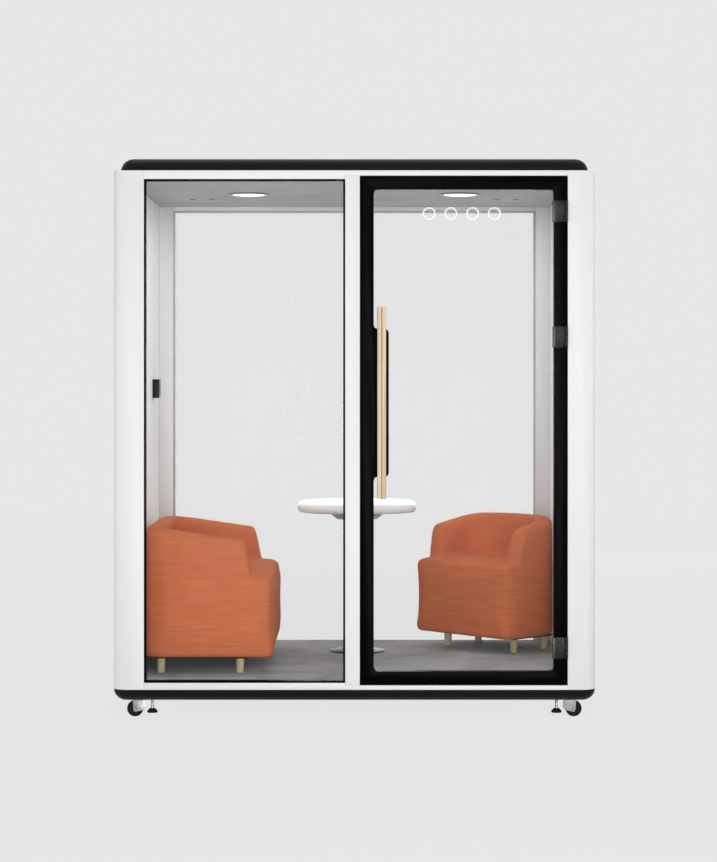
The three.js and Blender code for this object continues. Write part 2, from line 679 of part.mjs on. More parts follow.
// Ceiling panel with lamp cut-outs and air nozzles
const lampY = front + LAMP_FROM_FRONT;
const ceilingSlab = box(-floorX, floorX, frontInner + FIT, rearInner - FIT, ceiling, wallTop);
const lampHoles = sides.map(([side]) => {
  const radius = LAMP_LENS_RADIUS + LAMP_RIM + FIT;
  return rod(radius, side * LAMP_X, lampY, ceiling - PASS, wallTop + PASS, LAMP_SIDES);
});
const nozzles = sides.flatMap(([side]) => [-1, 1].map((place) => {
  const x = side * FAN_X + place * NOZZLE_OFFSET;
  return rod(NOZZLE_RADIUS, x, fanY, ceiling - PASS, wallTop + PASS, NOZZLE_SIDES);
}));
add('ceiling_panel', cut(ceilingSlab, ...lampHoles, ...nozzles), ceilingFelt);

// Downlights: a flanged body in the ceiling and a domed lens in its mouth
const latheOf = (points, sidesAround) => {
  const profile = points.map(([radius, z]) => new THREE.Vector2(radius, z));
  return new THREE.LatheGeometry(profile, sidesAround).rotateX(Math.PI / 2);
};
sides.forEach(([side, name]) => {
  const wallRadius = LAMP_LENS_RADIUS + LAMP_RIM;
  const body = latheOf([
    [0, LAMP_RIM],
    [LAMP_LENS_RADIUS + FIT, LAMP_RIM],
    [LAMP_LENS_RADIUS + FIT, -LAMP_RIM],
    [LAMP_RADIUS, -LAMP_RIM / 2],
    [LAMP_RADIUS, -FIT],
    [wallRadius, -FIT],
    [wallRadius, LAMP_BODY],
    [0, LAMP_BODY],
  ], LAMP_SIDES);
  add(`${name}_lamp_body`, body.translate(side * LAMP_X, lampY, ceiling), greyMetal);
  const dome = Array.from({ length: DOME_STEPS + 1 }, (unused, step) => {
    const angle = step / DOME_STEPS * Math.PI / 2;
    return [LAMP_LENS_RADIUS * Math.sin(angle), -LAMP_RIM / 2 - LAMP_DOME * Math.cos(angle)];
  });
  const lens = latheOf([
    ...dome,
    [LAMP_LENS_RADIUS, LAMP_RIM - FIT],
    [0, LAMP_RIM - FIT],
  ], LAMP_SIDES);
  add(`${name}_lamp_lens`, lens.translate(side * LAMP_X, lampY, ceiling), lensWhite);
});

// Ventilation: a square fan frame on the ceiling above each pair of nozzles, and the rotor on its shaft
const fanBottom = wallTop + FIT;
const rotorBottom = fanBottom + SHEET + FIT;
const rotorTop = fanBottom + FAN_THICKNESS - SHEET;
const fanFrame = () => {
  const half = FAN_SIZE / 2;
  const mouth = rod(FAN_BORE_RADIUS, 0, 0, -PASS, FAN_THICKNESS + PASS, FAN_SIDES);
  const shell = cut(box(-half, half, -half, half, 0, FAN_THICKNESS), mouth);
  const struts = Array.from({ length: FAN_STRUTS }, (unused, index) => {
    const strut = box(0, FAN_BORE_RADIUS + PASS, -SHEET / 2, SHEET / 2, 0, SHEET);
    return strut.rotateZ(index * 2 * Math.PI / FAN_STRUTS);
  });
  const hub = rod(FAN_HUB_RADIUS, 0, 0, 0, SHEET);
  const shaft = rod(FAN_SHAFT_RADIUS, 0, 0, SHEET / 2, FAN_THICKNESS - SHEET);
  return join(shell, ...struts, hub, shaft);
};
const fanRotor = () => {
  const height = rotorTop - rotorBottom;
  const blades = Array.from({ length: FAN_BLADES }, (unused, index) => {
    const tip = FAN_BORE_RADIUS - FAN_TIP_GAP;
    const half = FAN_BLADE_THICKNESS / 2;
    const blade = box(FAN_HUB_RADIUS - 2 * PASS, tip - PASS, -half, half, -height, height);
    const pitched = blade.rotateX(FAN_BLADE_PITCH * Math.PI / 180).translate(0, 0, height / 2);
    return pitched.rotateZ(index * 2 * Math.PI / FAN_BLADES);
  });
  const trim = [box(-FAN_SIZE, FAN_SIZE, -FAN_SIZE, FAN_SIZE, -FAN_SIZE, 0)];
  trim.push(box(-FAN_SIZE, FAN_SIZE, -FAN_SIZE, FAN_SIZE, height, height + FAN_SIZE));
  const bore = rod(FAN_SHAFT_RADIUS + 2 * FIT, 0, 0, -PASS, height + PASS);
  return cut(join(rod(FAN_HUB_RADIUS, 0, 0, 0, height), ...blades), ...trim, bore);
};
sides.forEach(([side, name]) => {
  add(`${name}_fan_frame`, fanFrame().translate(side * FAN_X, fanY, fanBottom), plastic);
  add(`${name}_fan_rotor`, fanRotor().translate(side * FAN_X, fanY, rotorBottom), plastic);
});

// Control box on the left wall with one push button for the lamps and fans
const controlY = front + CONTROL_FROM_FRONT;
const controlZ = floorTop + CONTROL_HEIGHT;
const controlBack = -liningX + FIT;
const controlFace = controlBack + CONTROL_DEPTH;
const squareAt = (size, radius) => {
  const half = size / 2;
  return outline(rectangle(controlY - half, controlY + half, controlZ - half, controlZ + half, radius));
};
const buttonBack = controlFace - BUTTON_BODY;
const pocketBack = buttonBack - BUTTON_TRAVEL - FIT;
const buttonTop = controlFace + BUTTON_PROUD;
const controlBody = alongX(squareAt(CONTROL_SIZE, SHEET), controlBack, controlFace, SMALL_STEPS);
const buttonPocket = alongX(squareAt(BUTTON_SIZE + 2 * FIT, SHEET), pocketBack, buttonTop, SMALL_STEPS);
add('control_box', cut(controlBody, buttonPocket), plastic);
add('control_button', alongX(squareAt(BUTTON_SIZE, SHEET), buttonBack, buttonTop, SMALL_STEPS), greyMetal);

// Table: a slab with rounded corners and edges on a turned pedestal
const tableTop = floorTop + TABLE_HEIGHT;
const tableY = front + TABLE_FROM_FRONT;
const slabBottom = tableTop - TABLE_THICKNESS;
const slabRings = Array.from({ length: SLAB_STEPS + 1 }, (unused, step) => {
  const angle = (step / SLAB_STEPS - 0.5) * Math.PI;
  const edge = TABLE_THICKNESS / 2;
  const back = edge * (1 - Math.cos(angle));
  const radius = TABLE_CORNER - back;
  const z = slabBottom + edge + edge * Math.sin(angle);
  return planRing(TABLE_WIDTH / 2 - back, TABLE_DEPTH / 2 - back, { front: radius, back: radius }, z);
});
add('table_top', loft(slabRings).translate(TABLE_X, tableY, 0), tableWhite);
const pedestal = latheOf([
  [0, floorTop + FIT],
  [TABLE_BASE_RADIUS, floorTop + FIT],
  [TABLE_BASE_RADIUS, floorTop + TABLE_BASE_HEIGHT / 2],
  [TABLE_COLUMN_RADIUS, floorTop + TABLE_BASE_HEIGHT],
  [TABLE_COLUMN_RADIUS, slabBottom - TABLE_CONE_HEIGHT],
  [TABLE_CONE_FOOT, slabBottom - TABLE_CONE_HEIGHT],
  [TABLE_CONE_RADIUS, slabBottom - FIT],
  [0, slabBottom - FIT],
], PEDESTAL_SIDES);
add('table_pedestal', pedestal.translate(TABLE_X, tableY, 0), greyMetal);

// Sofas: an upholstered block with a crowned seat, and a back that wraps round into sloping arms
const smooth = (value) => {
  const t = Math.min(Math.max(value, 0), 1);
  return t * t * (3 - 2 * t);
};
const seatBlock = ({ length, depth, backRadius }) => {
  const levels = [
    [0.7 * SOFA_EDGE, 0],
    [0.2 * SOFA_EDGE, 0.2 * SOFA_EDGE],
    [0, 0.7 * SOFA_EDGE],
    [SOFA_DRAW_IN, SOFA_SEAT / 2],
    [0, SOFA_SEAT - SOFA_EDGE],
    [0.3 * SOFA_EDGE, SOFA_SEAT - 0.3 * SOFA_EDGE],
    [SOFA_EDGE, SOFA_SEAT],
    [4 * SOFA_EDGE, SOFA_SEAT + 0.8 * SOFA_CROWN],
  ];
  return loft(levels.map(([inset, z]) => {
    const radii = {
      front: Math.max(SOFA_FRONT_RADIUS - inset, LEAST_CORNER),
      back: Math.max(backRadius - inset, LEAST_CORNER),
    };
    return planRing(depth / 2 - inset, length / 2 - inset, radii, z);
  }), [0, 0.2 * SOFA_CROWN]);
};
// Points along the middle of the wrap-round back, from one arm's front to the other's
const wrapPath = ({ length, depth, backRadius }) => {
  const inset = SOFA_WALL / 2 + SOFA_BACK_INSET;
  const armFront = depth / 2 - SOFA_ARM_SETBACK;
  const side = length / 2 - inset;
  const bend = backRadius - inset;
  const bendX = backRadius - depth / 2;
  const bendY = length / 2 - backRadius;
  const arm = [];
  for (let step = 0; step <= ARM_STEPS; step += 1) {
    const x = armFront - SOFA_ARM_RAMP * step / ARM_STEPS;
    arm.push({ x, y: -side, nx: 0, ny: -1 });
  }
  for (let step = 0; step <= BEND_STEPS; step += 1) {
    const angle = -Math.PI / 2 - step / BEND_STEPS * Math.PI / 2;
    const nx = Math.cos(angle);
    const ny = Math.sin(angle);
    arm.push({ x: bendX + bend * nx, y: -bendY + bend * ny, nx, ny });
  }
  const mirrored = arm.map(({ x, y, nx, ny }) => ({ x, y: -y, nx, ny: -ny })).reverse();
  return [...arm, ...mirrored];
};
const wrapBack = (sofa) => {
  const armFront = sofa.depth / 2 - SOFA_ARM_SETBACK;
  const armRun = armFront + sofa.depth / 2 - SOFA_WALL / 2;
  const foot = SOFA_SEAT - 1.5 * SOFA_EDGE;
  const round = 0.9 * SOFA_WALL / 2;
  return loft(wrapPath(sofa).map(({ x, y, nx, ny }) => {
    const run = armFront - x;
    const full = SOFA_ARM + (SOFA_BACK - SOFA_ARM) * smooth(run / armRun);
    const top = foot + (full - foot) * smooth(run / SOFA_ARM_RAMP);
    const section = [];
    for (let step = 0; step <= BEND_STEPS; step += 1) {
      const angle = step / BEND_STEPS * Math.PI;
      section.push([SOFA_WALL / 2 * Math.cos(angle), top - round + round * Math.sin(angle)]);
    }
    section.push([-SOFA_WALL / 2, SOFA_SEAT / 3], [SOFA_WALL / 2, SOFA_SEAT / 3]);
    return section.map(([out, z]) => new THREE.Vector3(x + out * nx, y + out * ny, z));
  }));
};
const underframe = ({ length, depth }) => {
  const frontX = depth / 2 - SOFA_LEG_BEHIND_FRONT;
  const backX = SOFA_LEG_BEFORE_BACK - depth / 2;
  const y = length / 2 - SOFA_LEG_INSET;
  const pad = SOFA_LEG_RADIUS + SOFA_BOARD;
  const board = box(backX - pad, frontX + pad, -y - pad, y + pad, -SOFA_BOARD, -FIT);
  const legs = corners.map(([sx, sy]) => {
    const reach = SOFA_LEG_HEIGHT - FIT - SOFA_BOARD / 2;
    const leg = new THREE.CylinderGeometry(SOFA_LEG_RADIUS, SOFA_LEG_FOOT, reach, LEG_SIDES);
    const x = sx > 0 ? frontX : backX;
    return leg.rotateX(Math.PI / 2).translate(x, sy * y, -SOFA_BOARD / 2 - reach / 2);
  });
  return join(board, ...legs);
};
const placeSofa = (name, sofa, x, y, turn) => {
  const place = new THREE.Group();
  place.position.set(x, y, floorTop + SOFA_LEG_HEIGHT);
  place.rotation.z = turn;
  pod.add(place);
  add(`${name}_sofa`, join(seatBlock(sofa), wrapBack(sofa)), upholstery, place);
  add(`${name}_sofa_underframe`, underframe(sofa), oak, place);
};
const leftSofaX = -liningX + LEFT_SOFA_WALL_GAP + LEFT_SOFA.depth / 2;
placeSofa('left', LEFT_SOFA, leftSofaX, front + LEFT_SOFA_FROM_FRONT + LEFT_SOFA.length / 2, 0);
// The right sofa is turned towards the door, so its reach is taken over its rounded corners
const turned = Math.PI + RIGHT_SOFA_TURN * Math.PI / 180;
const reaches = corners.map(([sx, sy]) => {
  const radius = sx > 0 ? SOFA_FRONT_RADIUS : RIGHT_SOFA.backRadius;
  const x = sx * (RIGHT_SOFA.depth / 2 - radius);
  const y = sy * (RIGHT_SOFA.length / 2 - radius);
  const centre = new THREE.Vector2(x, y);
  return centre.rotateAround(new THREE.Vector2(), turned).addScalar(radius);
});
const rightSofaX = liningX - RIGHT_SOFA_WALL_GAP - Math.max(...reaches.map((reach) => reach.x));
const rightSofaY = rearInner - RIGHT_SOFA_REAR_GAP - Math.max(...reaches.map((reach) => reach.y));
placeSofa('right', RIGHT_SOFA, rightSofaX, rightSofaY, turned);

// Casters: a swivel fork with broad cheeks and an axle, and the wheel on it
const flatRadius = (radius) => radius / Math.cos(Math.PI / WHEEL_SIDES);
const wheel = () => {
  const half = WHEEL_WIDTH / 2;
  const bore = flatRadius(AXLE_RADIUS + FIT);
  const tread = flatRadius(WHEEL_RADIUS);
  const dish = half - WHEEL_DISH;
  const side = [
    [tread, half - WHEEL_EDGE],
    [tread - WHEEL_EDGE, half],
    [WHEEL_RIM_RADIUS, half],
    [WHEEL_RIM_RADIUS, dish],
    [WHEEL_HUB_RADIUS, dish],
    [WHEEL_HUB_RADIUS, half],
    [bore, half],
  ];
  const otherSide = side.map(([radius, y]) => [radius, -y]).reverse();
  const profile = [...otherSide, ...side, otherSide[0]];
  const points = profile.map(([radius, y]) => new THREE.Vector2(radius, y));
  return new THREE.LatheGeometry(points, WHEEL_SIDES).rotateY(Math.PI / WHEEL_SIDES);
};
const fork = (side) => {
  const inner = WHEEL_WIDTH / 2 + FORK_GAP;
  const outer = inner + FORK_THICKNESS;
  const top = crownTop - WHEEL_RADIUS;
  const far = side * (FORK_CROWN_RADIUS + CASTER_TRAIL);
  const cheek = outline([
    [far, top, FORK_THICKNESS],
    [far, -AXLE_RADIUS, 2 * AXLE_RADIUS],
    [-side * AXLE_RADIUS, -3 * AXLE_RADIUS, 2 * AXLE_RADIUS],
    [-side * 2 * AXLE_RADIUS, top, AXLE_RADIUS],
  ]);
  const cheeks = [alongY(cheek, -outer, -inner), alongY(cheek, inner, outer)];
  const crown = rod(FORK_CROWN_RADIUS, side * CASTER_TRAIL, 0, top - FORK_THICKNESS, top);
  return join(crown, ...cheeks, rodY(AXLE_RADIUS, 0, 0, -inner - PASS, inner + PASS));
};
const cornerName = ([sx, sy]) => `${sy < 0 ? 'front' : 'rear'}_${sx < 0 ? 'left' : 'right'}`;
corners.forEach((corner) => {
  const [sx, sy] = corner;
  const caster = new THREE.Group();
  caster.position.set(sx * (casterX + CASTER_TRAIL), sy * casterY, WHEEL_RADIUS);
  pod.add(caster);
  add(`${cornerName(corner)}_caster_fork`, fork(-sx), zinc, caster);
  add(`${cornerName(corner)}_caster_wheel`, wheel(), rubber, caster);
});

// Levelling feet, wound up clear of the ground while the pod stands on its casters
corners.forEach((corner) => {
  const [sx, sy] = corner;
  const stemTop = baseBottom + FOOT_STEM_REACH - FOOT_RAISE;
  const foot = latheOf([
    [0, 0],
    [FOOT_RADIUS, 0],
    [FOOT_RADIUS, FOOT_RIM],
    [FOOT_SHOULDER, FOOT_PAD],
    [FOOT_STEM_RADIUS, FOOT_PAD],
    [FOOT_STEM_RADIUS, stemTop],
    [0, stemTop],
  ], FOOT_SIDES);
  add(`${cornerName(corner)}_levelling_foot`, foot.translate(sx * footX, sy * footY, FOOT_RAISE), rubber);
});

// The origin lies under the middle of the whole object, handle included
const handleReach = HANDLE_STANDOFF + HANDLE_DEPTH;
pod.position.y = handleReach / 2;

export default pod;
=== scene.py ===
"""Looks of a glazed two-seat office pod: finishes, soft seating, small fittings, studio and camera."""

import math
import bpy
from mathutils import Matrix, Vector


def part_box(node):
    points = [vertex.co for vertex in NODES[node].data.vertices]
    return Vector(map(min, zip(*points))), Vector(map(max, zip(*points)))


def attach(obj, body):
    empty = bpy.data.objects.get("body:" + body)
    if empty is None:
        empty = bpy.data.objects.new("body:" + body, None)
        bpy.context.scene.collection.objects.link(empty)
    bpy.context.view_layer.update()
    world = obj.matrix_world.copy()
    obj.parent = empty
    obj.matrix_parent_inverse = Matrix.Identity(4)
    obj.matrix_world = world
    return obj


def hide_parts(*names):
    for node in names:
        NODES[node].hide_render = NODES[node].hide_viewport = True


bl_info = {
    "name": "Acoustic Office Pod",
    "version": (1, 0, 0),
    "blender": (4, 5, 0),
    "location": "View3D > Sidebar > Pod",
    "description": "Dresses the pod's frame with finishes, upholstery and fittings, and sets its studio",
    "category": "Object",
}

import bpy
from bpy.props import FloatProperty, FloatVectorProperty, IntProperty, PointerProperty
from mathutils import Vector

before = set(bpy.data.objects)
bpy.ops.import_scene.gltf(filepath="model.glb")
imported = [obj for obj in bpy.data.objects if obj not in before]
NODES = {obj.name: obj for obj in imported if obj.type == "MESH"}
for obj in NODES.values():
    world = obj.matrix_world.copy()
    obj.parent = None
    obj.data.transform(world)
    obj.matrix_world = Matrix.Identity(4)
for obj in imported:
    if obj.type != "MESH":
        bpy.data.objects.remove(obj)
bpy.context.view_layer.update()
SIDES = ("left", "right")
CORNERS = ("front_left", "front_right", "rear_left", "rear_right")
HINGES = ("lower", "middle", "upper")

# The photograph's frame and where the pod stands in it
PHOTO_WIDTH = 717
PHOTO_HEIGHT = 862
POD_CENTRE_PIXEL = 354.4
HORIZON_PIXEL = 383.0
EYE_HEIGHT = 1.391
EYE_DISTANCE = 9.23
PIXEL_AT_FRONT = 0.00413

# Light on the pod and the floor's fade into the backdrop
WORLD_STRENGTH = 0.52
FLOOR_SIZE = 240
FLOOR_DROP = 0.0005
FADE_START = 3
FADE_END = 14
FADE_SHARE = 0.95
LAMP_TARGET = (0, 0, 1.1)
GLOW_SIZE = 1.3
GLOW_POWER = 9
GLOW_DROP = 0.01

# Small fittings, in metres
RING_THICKNESS = 0.0004
RING_GAP = 0.0001
HINGE_LEAF_STAND = 0.0053
HINGE_SCREW_ACROSS = 0.4
HINGE_SCREW_SHARES = (0.22, 0.78)
# Place of the painted highlight strip on each hinge leaf's edge
HINGE_EDGE_NEAR = 0.003
HINGE_EDGE_FAR = 0.011
HINGE_EDGE_END = 0.0015
HINGE_EDGE_STAND = 0.0012
HINGE_EDGE_SINK = 0.0002
INLAY_HALF_WIDTH = 0.0018
INLAY_TOP = 0.0012
INLAY_BOTTOM = 0.0038
INLAY_END = 0.004
STRIP_BEVEL = 0.0005
NOZZLE_HOLE = 0.0116
NOZZLE_THROAT = 0.0075
NOZZLE_OFFSET = 0.042
PEDESTAL_FOOT = 0.02
# Height of the top band of a sofa underframe that is painted as shade
SOFA_SHADE_BAND = 0.011
HUB_RADIUS = 0.022
FOOT_PAD_TOP = 0.022
BASE_BELOW_WALL = 0.0483
LOCK_NUT_GAP = 0.0004

# Padding and edge settings
PAD_FLOOR = 0.003
CLOTH_STEPS = 20
EDGE_ANGLE = 32.0
FLAT_ANGLE = 0.5
SAME_POINT = 1e-6


def colour_property(title, default):
    """A paint or cloth colour in linear light."""
    text = f"Colour of the {title.lower()}"
    return FloatVectorProperty(
        name=title, description=text, subtype="COLOR", size=3, min=0, max=1, default=default
    )


def length_property(title, default, text):
    """A length in metres."""
    return FloatProperty(
        name=title, description=text, default=default, min=0, unit="LENGTH", precision=5
    )


class PodColours(bpy.types.PropertyGroup):
    """Finishes that a user would change"""

    shell: colour_property("White shell", (0.735, 0.735, 0.74))
    trim: colour_property("Black trim", (0.004, 0.004, 0.0044))
    door: colour_property("Door border", (0.0008, 0.0008, 0.001))
    wall_felt: colour_property("Wall felt", (0.86, 0.867, 0.875))
    ceiling_felt: colour_property("Ceiling felt", (0.31, 0.312, 0.318))
    carpet: colour_property("Carpet", (0.365, 0.374, 0.392))
    cloth: colour_property("Upholstery", (0.605, 0.168, 0.068))
    oak: colour_property("Oak", (0.69, 0.55, 0.345))
    table: colour_property("Table top", (0.86, 0.85, 0.84))
    glass: colour_property("Glass tint", (0.22, 0.27, 0.26))
    backdrop: colour_property("Backdrop", (0.799, 0.799, 0.799))


class PodSizes(bpy.types.PropertyGroup):
    """Sizes of the fittings and the padding that a user would change"""

    ring_radius: length_property("Ring radius", 0.026, "Outer radius of a safety ring on the door glass")
    ring_line: length_property("Ring line", 0.0045, "Width of a safety ring's line")
    ring_first: length_property("First ring", 0.309, "Distance of the first ring right of the middle")
    ring_pitch: length_property("Ring pitch", 0.09, "Distance between the rings")
    ring_height: length_property("Ring height", 2.092, "Height of the rings above the ground")
    ring_count: IntProperty(name="Rings", description="Number of safety rings", default=4, min=0)
    nozzle_flange: length_property("Nozzle flange", 0.018, "Radius of an air nozzle's flange")
    screw_radius: length_property("Screw radius", 0.0042, "Radius of a hinge screw's head")
    pad_voxel: length_property("Pad grain", 0.009, "Mesh size of the padding before it swells")
    pad_slack: length_property("Pad slack", 0.005, "How far the padding starts inside its final form")
    pad_swell: length_property("Pad swell", 0.006, "Most that a point of the padding may move")
    pad_tuck: length_property("Pad tuck", 0.07, "Height over which the padding is held in")
    pad_pressure: FloatProperty(
        name="Pad pressure", description="Push of the filling", default=4, min=0
    )
    glass_alpha: FloatProperty(
        name="Glass alpha",
        description="How much of the glass shows",
        default=0.02,
        subtype="FACTOR",
        min=0,
        max=1,
    )


def colours():
    """The pod's colours."""
    return bpy.context.scene.pod_colours


def sizes():
    """The pod's sizes."""
    return bpy.context.scene.pod_sizes


# Materials


class Finish:
    """A node material that reads Object coordinates"""

    def __init__(self, name, colour, roughness, metallic=0.0):
        self.material = bpy.data.materials.new(name)
        self.material.use_nodes = True
        self.nodes = self.material.node_tree.nodes
        self.links = self.material.node_tree.links
        self.shader = self.nodes["Principled BSDF"]
        self.colour = tuple(colour)
        self.set("Base Color", (*self.colour, 1))
        self.set("Roughness", roughness)
        self.set("Metallic", metallic)
        self.place = self.nodes.new("ShaderNodeTexCoord").outputs["Object"]

    def set(self, socket, value):
        """Sets a constant on the shader."""
        self.shader.inputs[socket].default_value = value

    def join(self, output, socket):
        """Links two sockets."""
        self.links.new(output, socket)

    def stretched(self, stretch):
        """Coordinates drawn out along the axes with a small stretch."""
        mapping = self.nodes.new("ShaderNodeMapping")
        mapping.inputs["Scale"].default_value = stretch
        self.join(self.place, mapping.inputs["Vector"])
        return mapping.outputs["Vector"]

    def noise(self, scale, detail=3.0, place=None, distortion=0.0):
        """Cloudy noise between 0 and 1."""
        node = self.nodes.new("ShaderNodeTexNoise")
        node.inputs["Scale"].default_value = scale
        node.inputs["Detail"].default_value = detail
        node.inputs["Distortion"].default_value = distortion
        self.join(place or self.place, node.inputs["Vector"])
        return node.outputs["Fac"]

    def cells(self, scale):
        """Distance to the middle of scattered cells."""
        node = self.nodes.new("ShaderNodeTexVoronoi")
        node.inputs["Scale"].default_value = scale
        self.join(self.place, node.inputs["Vector"])
        return node.outputs["Distance"]

    def spread(self, value, low, high, start=0.3, end=0.7):
        """Carries a value from one range to another."""
        node = self.nodes.new("ShaderNodeMapRange")
        node.inputs["From Min"].default_value = start
        node.inputs["From Max"].default_value = end
        node.inputs["To Min"].default_value = low
        node.inputs["To Max"].default_value = high
        self.join(value, node.inputs["Value"])
        return node.outputs["Result"]

    def sum(self, first, second, weight=1.0):
        """First value plus a share of the second."""
        node = self.nodes.new("ShaderNodeMath")
        node.operation = "MULTIPLY_ADD"
        self.join(second, node.inputs[0])
        node.inputs[1].default_value = weight
        self.join(first, node.inputs[2])
        return node.outputs["Value"]

    def tint(self, factor, dark, light):
        """Shades the base colour between two multiples of itself."""
        mix = self.nodes.new("ShaderNodeMix")
        mix.data_type = "RGBA"
        mix.inputs["A"].default_value = (*[min(1.0, c * dark) for c in self.colour], 1)
        mix.inputs["B"].default_value = (*[min(1.0, c * light) for c in self.colour], 1)
        self.join(factor, mix.inputs["Factor"])
        self.join(mix.outputs["Result"], self.shader.inputs["Base Color"])

    def gloss(self, factor, low, high):
        """Varies the roughness."""
        self.join(self.spread(factor, low, high), self.shader.inputs["Roughness"])

    def bump(self, height, strength, depth):
        """Fine relief."""
        node = self.nodes.new("ShaderNodeBump")
        node.inputs["Strength"].default_value = strength
        node.inputs["Distance"].default_value = depth
        self.join(height, node.inputs["Height"])
        self.join(node.outputs["Normal"], self.shader.inputs["Normal"])

    def weave(self, pitch):
        """Height of crossing threads, the same on faces of any direction."""
        scaled = self.stretched((math.tau / pitch,) * 3)
        wave = self.nodes.new("ShaderNodeVectorMath")
        wave.operation = "SINE"
        self.join(scaled, wave.inputs[0])
        total = self.nodes.new("ShaderNodeVectorMath")
        total.operation = "DOT_PRODUCT"
        total.inputs[1].default_value = (1, 1, 1)
        self.join(wave.outputs["Vector"], total.inputs[0])
        return total.outputs["Value"]


def powder_coat(name, colour, roughness, mottle=0.03, shine=0.5):
    """Powder-coated sheet: fine orange peel and a faint drift of tone and gloss."""
    coat = Finish(name, colour, roughness)
    coat.set("Specular IOR Level", shine)
    drift = coat.noise(2.2, 2)
    coat.tint(drift, 1 - mottle, 1 + mottle)
    coat.gloss(coat.noise(9, 4), roughness - mottle, roughness + mottle)
    coat.bump(coat.noise(420, 2), 0.08, 0.0006)
    return coat.material


def felt_sheet(name, colour, fleck):
    """Pressed felt: matted fibres, light and dark flecks, a soft sheen."""
    felt = Finish(name, colour, 0.95)
    fibres = felt.noise(260, 5, distortion=1.2)
    clouds = felt.spread(felt.noise(3.6, 6, distortion=0.5), 0.0, 0.7)
    felt.tint(felt.sum(clouds, fibres, 0.3), 1 - fleck, 1 + fleck)
    felt.bump(fibres, 0.35, 0.0015)
    felt.set("Sheen Weight", 0.25)
    felt.set("Sheen Roughness", 0.6)
    return felt.material


def carpet_pile(name, colour):
    """Short mottled pile with brushed patches."""
    pile = Finish(name, colour, 1.0)
    tufts = pile.cells(330)
    patches = pile.noise(3.4, 5, distortion=0.8)
    flecks = pile.noise(120, 3)
    pile.tint(pile.sum(pile.spread(patches, 0.0, 0.8), flecks, 0.3), 0.56, 1.3)
    pile.bump(pile.sum(tufts, flecks, 0.6), 0.8, 0.003)
    pile.set("Sheen Weight", 0.2)
    return pile.material


def oak_wood(name, colour, along):
    """Pale oiled oak with its grain along one axis."""
    wood = Finish(name, colour, 0.5)
    stretch = [38.0, 38.0, 38.0]
    stretch[along] = 1.6
    rings = wood.noise(1.0, 6, wood.stretched(tuple(stretch)), distortion=1.4)
    pores = wood.noise(6.0, 3, wood.stretched(tuple(s * 2.4 for s in stretch)))
    wood.tint(wood.sum(wood.spread(rings, 0.0, 0.85), pores, 0.2), 0.72, 1.15)
    wood.gloss(rings, 0.42, 0.6)
    wood.bump(pores, 0.12, 0.0006)
    return wood.material


def woven_cloth(name, colour):
    """Woven upholstery: crossing threads, slubs along the weft and a soft nap."""
    cloth = Finish(name, colour, 0.85)
    threads = cloth.weave(0.0024)
    slubs = cloth.noise(1.0, 4, cloth.stretched((10.0, 10.0, 130.0)))
    patches = cloth.noise(3.5, 3)
    tone = cloth.sum(cloth.spread(slubs, 0.1, 0.6), patches, 0.4)
    cloth.tint(tone, 0.8, 1.2)
    cloth.bump(cloth.sum(threads, slubs, 1.6), 0.35, 0.0009)
    cloth.set("Specular IOR Level", 0.05)
    cloth.set("Sheen Weight", 0.05)
    cloth.set("Sheen Roughness", 0.45)
    cloth.set("Sheen Tint", (0.9, 0.5, 0.36, 1))
    return cloth.material


def clear_pane(name, colour, alpha):
    """Clear glass, faintly tinted, with a trace of ripple."""
    pane = Finish(name, colour, 0.03)
    pane.set("Alpha", alpha)
    pane.set("IOR", 1.5)
    pane.bump(pane.noise(3, 1), 0.02, 0.001)
    return pane.material


def brushed_metal(name, colour, roughness, along):
    """Satin metal brushed along one axis."""
    metal = Finish(name, colour, roughness, 0.95)
    stretch = [240.0, 240.0, 240.0]
    stretch[along] = 6.0
    lines = metal.noise(1.0, 3, metal.stretched(tuple(stretch)))
    metal.tint(lines, 0.9, 1.1)
    metal.gloss(lines, roughness - 0.08, roughness + 0.1)
    metal.bump(lines, 0.06, 0.0004)
    return metal.material


def moulded(name, colour, roughness, shine=0.25):
    """Moulded plastic or rubber with a fine spark-eroded grain."""
    skin = Finish(name, colour, roughness)
    skin.set("Specular IOR Level", shine)
    grain = skin.noise(700, 2)
    skin.tint(skin.noise(14, 3), 0.85, 1.2)
    skin.gloss(grain, roughness - 0.08, roughness + 0.08)
    skin.bump(grain, 0.12, 0.0005)
    return skin.material


def speckled_top(name, colour):
    """Satin white laminate with a faint stone figure."""
    top = Finish(name, colour, 0.32)
    veins = top.noise(7, 6, distortion=2.2)
    specks = top.cells(90)
    top.tint(top.sum(top.spread(veins, 0.0, 0.8, 0.1, 0.9), specks, 0.2), 0.97, 1.02)
    top.gloss(veins, 0.26, 0.38)
    return top.material


def lit_lens(name):
    """Opal diffuser with a fine frost, with the lamp on behind it."""
    lens = Finish(name, (0.9, 0.9, 0.9), 0.4)
    frost = lens.noise(500, 2)
    lens.tint(frost, 0.97, 1.03)
    lens.bump(frost, 0.05, 0.0004)
    lens.set("Emission Color", (1.0, 0.985, 0.96, 1))
    lens.set("Emission Strength", 0.85)
    return lens.material


# Modelling helpers


def deselect():
    """Object mode with nothing selected."""
    if bpy.context.object and bpy.context.object.mode != "OBJECT":
        bpy.ops.object.mode_set(mode="OBJECT")
    bpy.ops.object.select_all(action="DESELECT")


def pick(piece):
    """Makes one object the only selected and active one."""
    deselect()
    piece.select_set(True)
    bpy.context.view_layer.objects.active = piece


def edit(piece):
    """Edit mode on one object with everything selected."""
    pick(piece)
    bpy.ops.object.mode_set(mode="EDIT")
    bpy.ops.mesh.select_all(action="SELECT")


def settle(piece, name, material, body, angle=40.0):
    """Names a finished piece, puts its place in its mesh, paints it and ties it to its body."""
    pick(piece)
    bpy.ops.object.transform_apply(location=True, rotation=True, scale=True)
    bpy.ops.object.shade_smooth_by_angle(angle=math.radians(angle))
    piece.name = piece.data.name = name
    piece.data.materials.clear()
    piece.data.materials.append(material)
    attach(piece, body)
    return piece


